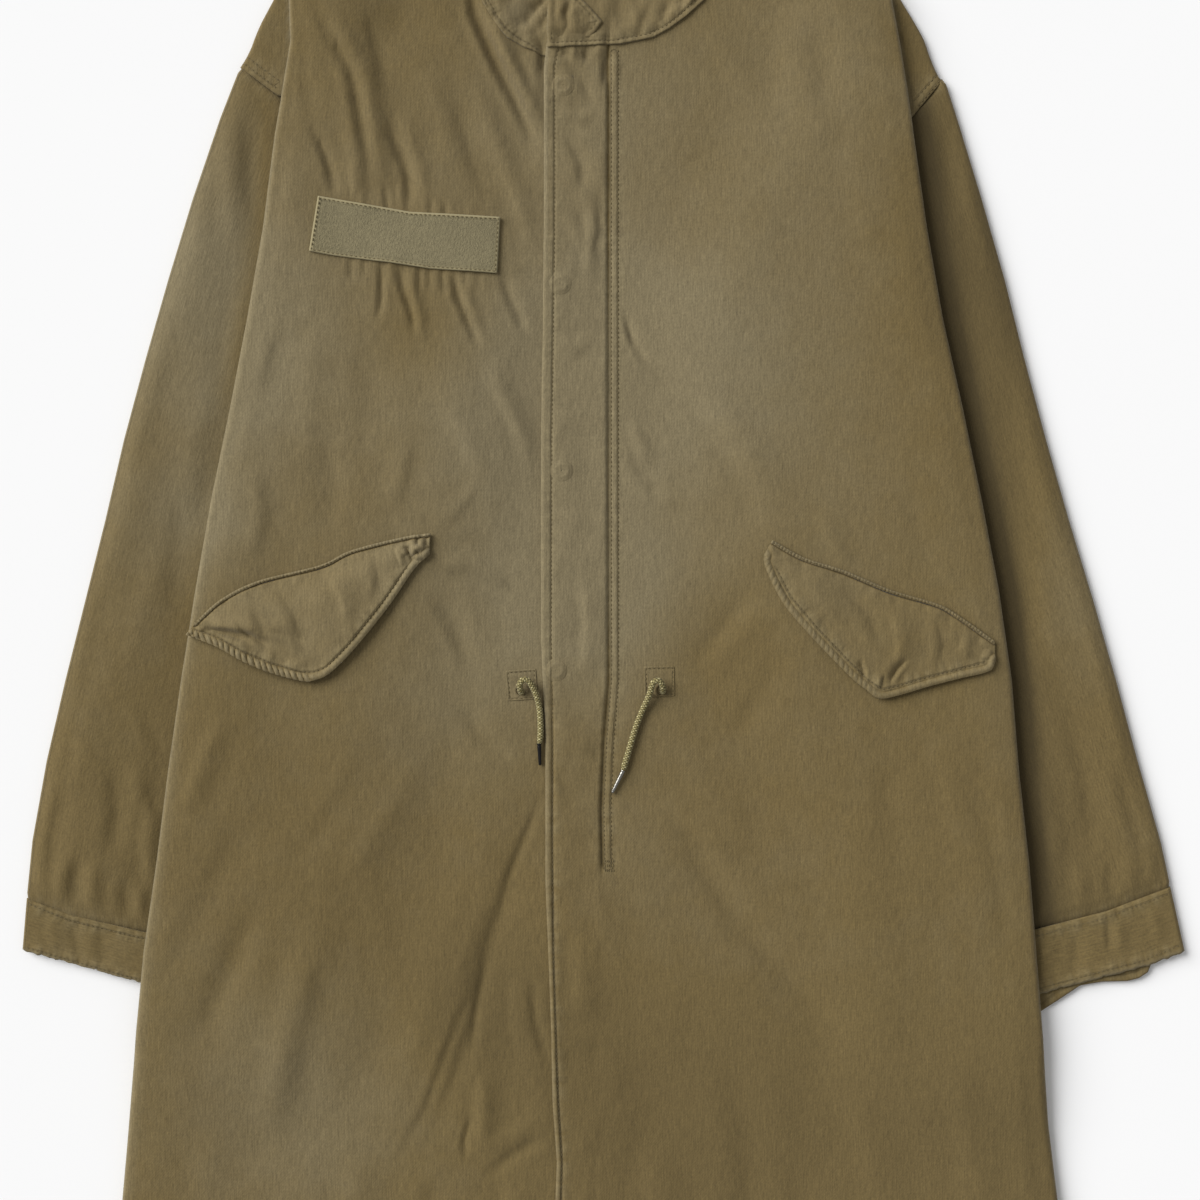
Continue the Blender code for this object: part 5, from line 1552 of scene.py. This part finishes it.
def aglet_mesh(name, key, line, ground):
    """Slim metal tip with a crimp near its open end and a rounded point."""
    x, y, diameter = AGLETS[key]
    tip = np.array((x, y, ground.top(x, y, diameter) + SEAM_GAP + diameter / 2))
    way = (tip - line[-1]) / norm(tip - line[-1])
    start = line[-1] - way * 1.6
    length = norm(tip - start)
    profile = [(0.0, 0.40), (0.0, 0.60), (0.25, 0.66), (0.9, 0.64), (1.3, 0.55), (1.9, 0.55), (2.3, 0.61),
               (3.0, 0.58), (length * 0.55, 0.50), (length - 1.2, 0.43), (length - 0.5, 0.36),
               (length - 0.12, 0.22), (length, 0.08)]
    shares = np.array([step for step, _ in profile])
    places = start + way * shares[:, None]
    places[0] += way * 0.5
    frames = tube_frames(np.array([start, tip]))[:1] * len(profile)
    return capped_tube(name, places, frames, [wide * diameter for _, wide in profile], 24)


def snap_grid(place, ground):
    """A snap's cap pressed up through the fly: a flat middle inside a low ring, level with the fly outside."""
    radii = np.array([0.05, 1.0, 2.0, 3.0, 3.8, 4.4, 5.0, 5.5, 6.0, 6.6, 7.4, 8.4, 9.6])
    angles = np.arange(48) * math.tau / 48
    x = place[0] + radii[:, None] * np.cos(angles)
    y = place[1] + radii[:, None] * np.sin(angles)
    form = 0.34 * bell(radii - SNAP_RING, 1.3) + 0.20 * smooth((5.8 - radii) / 2.0)
    form = form + 0.30 * smooth((9.2 - radii) / 4.0) - 0.95 * smooth((radii - 7.0) / 2.6)
    z = laid_heights(ground, x, y, 1) - CLOTH / 4 + form[:, None]
    return together(x, y, z)


def stitches(rows, ground, lift=0.05):
    """Short rounded lengths of thread along rows of points on the page."""
    pitch = sizes().stitch_pitch / MM
    thick = sizes().thread_diameter / MM / 2
    corners, faces = [], []
    random = np.random.default_rng(7)
    for row in rows:
        line = np.asarray(row, float)
        length = step_lengths(line).sum()
        count = max(1, int(length / pitch))
        for k in range(count):
            share = np.array([k + 0.14, k + 0.5, k + 0.86]) / count
            place = along(line, share) + random.normal(0.0, 0.05, 2)
            heights = [ground.top(*p) for p in place]
            if min(heights) <= 0.7 or max(heights) - min(heights) > 1.6:
                continue
            sink = (0.55, -0.7, 0.55)
            spine = np.array([(p[0], p[1], h + lift - thick * s) for p, h, s in zip(place, heights, sink)])
            way = spine[2] - spine[0]
            way /= norm(way)
            side = np.array((-way[1], way[0], 0.0))
            side /= norm(side)
            up = np.cross(way, side) * (1.0 if np.cross(way, side)[2] > 0 else -1.0)
            first = len(corners)
            for point, wide in zip(spine, (0.55, 1.0, 0.55)):
                for turn in np.arange(THREAD_SIDES) * math.tau / THREAD_SIDES:
                    corners.append(point + thick * wide * (math.cos(turn) * side + math.sin(turn) * up))
            corners += [spine[0] - way * thick * 0.7, spine[2] + way * thick * 0.7]
            faces += tube_faces(first, len(spine), THREAD_SIDES)
    return new_mesh("thread", corners, faces)


def offset_row(points, away):
    """A row of stitching beside a line."""
    return shifted(evenly(points, THREAD_PITCH), away)


def seam_rows(seams):
    """Every single row of stitching of a table of seams."""
    rows = []
    for half, *places in seams:
        points = np.reshape(places, (-1, 2))
        rows += [offset_row(points, half), offset_row(points, -half)] if half else [evenly(points, THREAD_PITCH)]
    return rows


# ---- sizes and colours a user may change

def shade(label, default, note):
    return FloatVectorProperty(name=label, description=note, subtype="COLOR_GAMMA", size=3, min=0.0, max=1.0,
                               default=default)


def measure(label, default, low, high, note):
    return FloatProperty(name=label, description=note, default=default, min=low, max=high, unit="LENGTH")


class ParkaSizes(bpy.types.PropertyGroup):
    """Sizes of the cloth, thread and cord."""

    crease_strength: FloatProperty(name="Crease strength", default=1.0, min=0.0, max=1.5, subtype="FACTOR",
                                   description="Share of their full height that creases have")
    stitch_pitch: measure("Stitch pitch", 0.0032, 0.002, 0.008, "Length of one stitch with the gap after it")
    thread_diameter: measure("Thread diameter", 0.0006, 0.0003, 0.0012, "Thickness of the sewing thread")
    cord_diameter: measure("Cord diameter", 0.0046, 0.003, 0.0055, "Thickness of the waist cord")
    camera_height: measure("Camera height", 1.633, 1.0, 3.0, "Height of the camera above the table")


class ParkaColours(bpy.types.PropertyGroup):
    """Colours as they look on a screen, and the strength of the light."""

    deep_olive: shade("Deep olive", (0.425, 0.362, 0.222), "Cloth that kept its dye")
    washed_olive: shade("Washed olive", (0.484, 0.438, 0.328), "Cloth that washing made paler")
    rubbed_olive: shade("Rubbed olive", (0.56, 0.51, 0.38), "Raised cloth beside seams")
    thread: shade("Thread", (0.41, 0.36, 0.24), "Sewing thread")
    tape: shade("Tape", (0.48, 0.445, 0.335), "Loop tape on the chest")
    cord: shade("Cord", (0.55, 0.50, 0.31), "Waist cord")
    cord_fleck: shade("Cord's pale strand", (0.84, 0.80, 0.60), "Strands that stand out in the cord")
    black_metal: shade("Black tip", (0.12, 0.115, 0.11), "Blackened metal of the right tip")
    steel: shade("Steel tip", (0.60, 0.59, 0.56), "Bare metal of the left tip")
    floor: shade("Table", (0.965, 0.965, 0.965), "Surface that the parka lies on")
    key_light: FloatProperty(name="Key light", default=3.82, min=0.0, max=20.0,
                             description="Strength of the soft light at the upper left")
    room_light: FloatProperty(name="Room light", default=0.38, min=0.0, max=3.0,
                              description="Strength of the even light from all round")


# ---- operators

class PARKA_OT_stage(bpy.types.Operator):
    """Add the camera above the table, the table and the light"""

    bl_idname = "parka.stage"
    bl_label = "Stage"

    def execute(self, context):
        scene = context.scene
        scene.view_settings.view_transform = "Standard"
        camera = bpy.data.cameras.new("camera")
        camera.lens = 70.0
        camera.sensor_width = 36.0
        camera.clip_end = 20.0
        scene.camera = new_object("camera", camera)
        scene.camera.location = (-0.0025, -0.042, sizes().camera_height)

        mesh = bpy.data.meshes.new("table")
        mesh.from_pydata([(-4, -4, 0), (4, -4, 0), (4, 4, 0), (-4, 4, 0)], [], [(0, 1, 2, 3)])
        table = new_object("table", mesh)
        table.location.z = -0.0002
        material, tree, shader = new_material("table", 0.9)
        place = tree.place()
        tone = linear(colours().floor)
        base = tree.mix(tree.noise(place, 3.0), (*(tone * 0.995), 1.0), (*np.minimum(tone * 1.005, 1.0), 1.0))
        tree.feed(base, shader.inputs["Base Color"])
        mesh.materials.append(material)

        lamp = bpy.data.lights.new("key", "SUN")
        lamp.angle = math.radians(44.0)
        lamp.energy = colours().key_light
        light = new_object("key", lamp)
        light.location = (-1.50, 0.85, 1.10)
        light.rotation_mode = "QUATERNION"
        light.rotation_quaternion = (-light.location).to_track_quat("-Z", "Y")

        world = bpy.data.worlds.new("room")
        world.use_nodes = True
        sky = world.node_tree.nodes["Background"]
        sky.inputs["Color"].default_value = (1.0, 1.0, 1.0, 1.0)
        sky.inputs["Strength"].default_value = colours().room_light
        scene.world = world
        return {"FINISHED"}


class PARKA_OT_fronts(bpy.types.Operator):
    """Dress the two front panels, the left one with the fly"""

    bl_idname = "parka.fronts"
    bl_label = "Fronts"

    def execute(self, context):
        material = cloth_material()
        for key, below in (("right", ["back"]), ("left", ["back", "front_right"])):
            name = "front_" + key
            grid = front_grid(key)
            seams = FRONT_SEAMS[key] + [(0, *np.ravel(row)) for row in ARMHOLE_ROWS[key]]
            x, y = grid[..., 0], grid[..., 1]
            # Paler along the fold at the side: rubbed wear, and a painted highlight where the light catches the fold.
            edge = 0.9 * bell(x - fold_x(y, SIDES[key]), 1.7)
            # Painted light: a lit band just inside the right front's fold, on the side the light comes from.
            if key == "right":
                edge += 0.32 * bell(x - fold_x(y, SIDES[key]) - 3.0, 5.0) * smooth((230.0 - y) / 120.0)
            else:
                # A painted highlight on the fly's edge, painted shadow in the step at its inner edge, painted shade
                # in the groove of the row near its edge, and painted shadow under its edge in the first two columns.
                on_fly = np.where(y <= 347.0, 1.0, 0.0)
                edge += on_fly * 0.55 * bell(x - fly_start(y) - 0.9, 1.2)
                step = read_table(STEP_SHADE, y)
                edge -= on_fly * step * bell(x - fly_row(1, y) + 4.4, 1.0)
                edge -= np.interp(y, (-460, -160, -60), (0.95, 0.75, 0.0)) * bell(x - fly_row(0, y), 0.9)
                edge[:, :2] -= 3.0
            cloth_piece(name, grid, CLOTH, material, seams=seams, edge=edge)
        return {"FINISHED"}


class PARKA_OT_back(bpy.types.Operator):
    """Dress the back panel"""

    bl_idname = "parka.back"
    bl_label = "Back"

    def execute(self, context):
        cloth_piece("back", back_grid(), CLOTH, cloth_material())
        return {"FINISHED"}


class PARKA_OT_sleeves(bpy.types.Operator):
    """Dress the sleeves and the cuffs, with the tab at the left cuff"""

    bl_idname = "parka.sleeves"
    bl_label = "Sleeves and cuffs"

    def execute(self, context):
        material = cloth_material()
        for key in SIDES:
            grid, grain = sleeve_grid(key)
            ends = [(0, *np.ravel(SIDES[key][end])) for end in ("cuff_seam", "armhole")]
            x, y = grid[..., 0], grid[..., 1]
            # Paler along the outer fold: rubbed wear, and a painted highlight where the light catches it.
            worn = 0.6 * bell(x - read_table([(py, px) for px, py in SIDES[key]["sleeve"]], y), 1.5)
            out = np.maximum(beside_body(x, y, key), 0.0)
            # Painted shadow cast by the body's side on the left sleeve, and painted shade beside the body on the
            # right sleeve.
            if key == "left":
                worn -= 1.5 * bell(out, 13.0) + 0.45 * bell(out, 36.0)
            else:
                worn -= 0.4 * bell(out, 12.0) * (0.4 + 0.6 * smooth((y - 60.0) / 60.0))
            cloth_piece("sleeve_" + key, grid, CLOTH, material, ring=True, seams=ends, grain=grain,
                        edge=worn)
            grid, grain = cuff_grid(key)
            rows = even(len(grid))[:, None]
            worn = 0.9 * smooth((rows - 0.93) / 0.07) + np.zeros(grid.shape[:2])
            cloth_piece("cuff_" + key, grid, CUFF_SHELL, cloth_material("olive_cuff", 1.8), ring=True,
                        seams=OTHER_SEAMS["cuff"], grain=grain, edge=worn)
        x, y, _, _ = between_edges(CUFF_TAB_TOP, CUFF_TAB_LOW, even(26), 90)
        away = np.abs(line_distance(x, y, CUFF_TAB_LOW)[0])
        z = (FLOOR_Z + FRONT_Z) / 2 + 0.35 * bell(away - 1.6, 1.4)
        z += 0.3 * crumple(x * 2.0, y * 2.0, 127) * smooth(away / 6.0)
        cloth_piece("cuff_tab_left", together(x, y, z), CLOTH, material,
                    seams=OTHER_SEAMS["cuff_tab"])
        return {"FINISHED"}


class PARKA_OT_collar(bpy.types.Operator):
    """Dress the stand collar's three pieces and its throat tab"""

    bl_idname = "parka.collar"
    bl_label = "Collar"

    def execute(self, context):
        material = cloth_material("olive_collar", 2.2)
        cloth_piece("collar_back", collar_back_grid(), COLLAR_CLOTH, material)
        for key in ("right", "left"):
            cloth_piece("collar_" + key, collar_grid(key), COLLAR_CLOTH, material,
                        seams=OTHER_SEAMS["collar"])
        grid = throat_tab_grid(Ground("collar_left"))
        cloth_piece("throat_tab", grid, CLOTH, material, seams=OTHER_SEAMS["throat_tab"])
        return {"FINISHED"}


class PARKA_OT_pocket_flaps(bpy.types.Operator):
    """Dress the two slanted pocket flaps with their roped hems"""

    bl_idname = "parka.pocket_flaps"
    bl_label = "Pocket flaps"

    def execute(self, context):
        for key, flap in FLAPS.items():
            # The right flap gets a brighter copy of the cloth: painted light.
            material = cloth_material("olive_flap_" + key, 1.4, flap["shade"])
            grid, wear = flap_grid(key, Ground("front_" + key))
            cloth_piece("pocket_flap_" + key, grid, FLAP_SHELL, material, seams=OTHER_SEAMS["flap"],
                        edge=wear)
        return {"FINISHED"}


class PARKA_OT_name_tape(bpy.types.Operator):
    """Dress the blank loop tape on the chest"""

    bl_idname = "parka.name_tape"
    bl_label = "Chest tape"

    def execute(self, context):
        grid, border = tape_grid(Ground("front_right"))
        item = cloth_piece("name_tape", grid, TAPE, tape_material(), slot="hook_and_loop_tape")
        add_field(item.data, "border", border.ravel())
        return {"FINISHED"}


class PARKA_OT_cord_patches(bpy.types.Operator):
    """Dress the two square patches that the waist cord comes out of"""

    bl_idname = "parka.cord_patches"
    bl_label = "Cord patches"

    def execute(self, context):
        material = cloth_material()
        fronts = Ground("front_right", "front_left")
        for key in CORD_PATCHES:
            cloth_piece("cord_patch_" + key, patch_grid(key, fronts), PATCH_SHELL, material,
                        ring=True)
        return {"FINISHED"}


class PARKA_OT_drawcords(bpy.types.Operator):
    """Dress the waist cord's two free ends and their metal tips"""

    bl_idname = "parka.drawcords"
    bl_label = "Waist cord"

    def execute(self, context):
        tips = {
            "right": (metal_material("blackened_metal", colours().black_metal, 0.42, 0.4), "black_aglet"),
            "left": (metal_material("bare_steel", colours().steel, 0.32, 1.0), "steel_aglet"),
        }
        material = cord_material()
        fronts = Ground("front_right", "front_left")
        for key, (metal, slot) in tips.items():
            below = Ground("front_right", "front_left", "cord_patch_" + key)
            line = cord_line(key, fronts, below)
            cord = dress("drawcord_" + key, braided_tube("drawcord_" + key, line), material, "braided_cord",
                         "drawcord_" + key)
            cord.name = "waist_cord_" + key
            tip = dress("aglet_" + key, aglet_mesh("aglet_" + key, key, line, fronts), metal, slot, "aglet_" + key)
            tip.name = "cord_tip_" + key
            length = step_lengths(line).sum()
        return {"FINISHED"}


class PARKA_OT_snaps(bpy.types.Operator):
    """Press the four snap caps up through the fly's cloth"""

    bl_idname = "parka.snaps"
    bl_label = "Snaps"

    def execute(self, context):
        material = cloth_material()
        ground = Ground("front_left")
        for number, place in enumerate(SNAPS, 1):
            name = f"snap_{number}"
            grid = snap_grid(place, ground)
            x, y = grid[..., 0], grid[..., 1]
            worn = np.hypot(x - place[0], y - place[1])
            fields = [("grain", together(x, y, 0.0 * x)), ("seam", seam_field(x, y, FRONT_SEAMS["left"])),
                      ("pale", fade_and_painted_light_field(x, y) + 0.12 * bell(worn - SNAP_RING, 1.0))]
            mesh = grid_mesh(name, grid, True, fields)
            item = dress(name, mesh, material, "snap_paint", name)
            item.name = name + "_cap"
            give_thickness(item, CLOTH / 2)
        return {"FINISHED"}


class PARKA_OT_stitching(bpy.types.Operator):
    """Sew every row of thread that shows"""

    bl_idname = "parka.stitching"
    bl_label = "Stitching"

    def execute(self, context):
        sewn = {
            "fronts": (["front_left", "front_right"],
                       seam_rows([*FRONT_SEAMS["left"], *FRONT_SEAMS["right"]]) + ARMHOLE_ROWS["left"]
                       + ARMHOLE_ROWS["right"] + [[(x, -222), (x + 0.4, -232)] for x in (0.8, 2.2, 3.4, 5.0, 6.6)]),
            "collar": (["collar_left", "collar_right"], seam_rows(OTHER_SEAMS["collar"])),
            "throat_tab": (["throat_tab"], seam_rows(OTHER_SEAMS["throat_tab"])),
            "cuffs": (["cuff_left", "cuff_right"], seam_rows(OTHER_SEAMS["cuff"])),
            "flaps": (["pocket_flap_left", "pocket_flap_right"],
                      seam_rows(OTHER_SEAMS["flap"]) + [offset_row(FLAPS[key]["seam"], -1.0) for key in FLAPS]),
            "tape": (["name_tape"], [offset_row([*TAPE_TOP, *TAPE_LOW[::-1], TAPE_TOP[0]], -1.3)]),
        }
        for name, (under, rows) in sewn.items():
            self.sew(name, Ground(*under), rows)
        for key, spec in CORD_PATCHES.items():
            half = PATCH_SIDE / 2 - 1.2
            turn = math.radians(spec["turn"])
            corners = [(-half, -half), (half, -half), (half, half), (-half, half), (-half, -half)]
            row = [(spec["middle"][0] + u * math.cos(turn) - v * math.sin(turn),
                    spec["middle"][1] + u * math.sin(turn) + v * math.cos(turn)) for u, v in corners]
            self.sew("patch_" + key, Ground("cord_patch_" + key), [row])
        return {"FINISHED"}

    def sew(self, name, ground, rows):
        item = dress("thread_" + name, stitches(rows, ground), thread_material(), "parka_cloth")
        if not len(item.data.polygons):
            raise RuntimeError("no thread could be laid on " + name)


class PARKA_PT_panel(bpy.types.Panel):
    """Lists the parka's pieces, sizes and colours"""

    bl_idname = "PARKA_PT_panel"
    bl_label = "Military parka"
    bl_space_type = "VIEW_3D"
    bl_region_type = "UI"
    bl_category = "Parka"

    def draw(self, context):
        for group in (context.scene.parka_sizes, context.scene.parka_colours):
            box = self.layout.box()
            for key in group.__annotations__:
                box.prop(group, key)
        for operator in OPERATORS:
            self.layout.operator(operator.bl_idname)


OPERATORS = (PARKA_OT_stage, PARKA_OT_fronts, PARKA_OT_back, PARKA_OT_sleeves, PARKA_OT_collar,
             PARKA_OT_pocket_flaps, PARKA_OT_name_tape, PARKA_OT_cord_patches, PARKA_OT_drawcords, PARKA_OT_snaps,
             PARKA_OT_stitching)
CLASSES = (ParkaSizes, ParkaColours, *OPERATORS, PARKA_PT_panel)


def register():
    for item in CLASSES:
        bpy.utils.register_class(item)
    bpy.types.Scene.parka_sizes = PointerProperty(type=ParkaSizes)
    bpy.types.Scene.parka_colours = PointerProperty(type=ParkaColours)


def unregister():
    del bpy.types.Scene.parka_colours
    del bpy.types.Scene.parka_sizes
    for item in reversed(CLASSES):
        bpy.utils.unregister_class(item)


def main():
    register()
    bpy.ops.parka.stage()
    bpy.ops.parka.fronts()
    bpy.ops.parka.back()
    bpy.ops.parka.sleeves()
    bpy.ops.parka.collar()
    bpy.ops.parka.pocket_flaps()
    bpy.ops.parka.name_tape()
    bpy.ops.parka.cord_patches()
    bpy.ops.parka.drawcords()
    bpy.ops.parka.snaps()
    bpy.ops.parka.stitching()


if __name__ == "__main__":
    main()
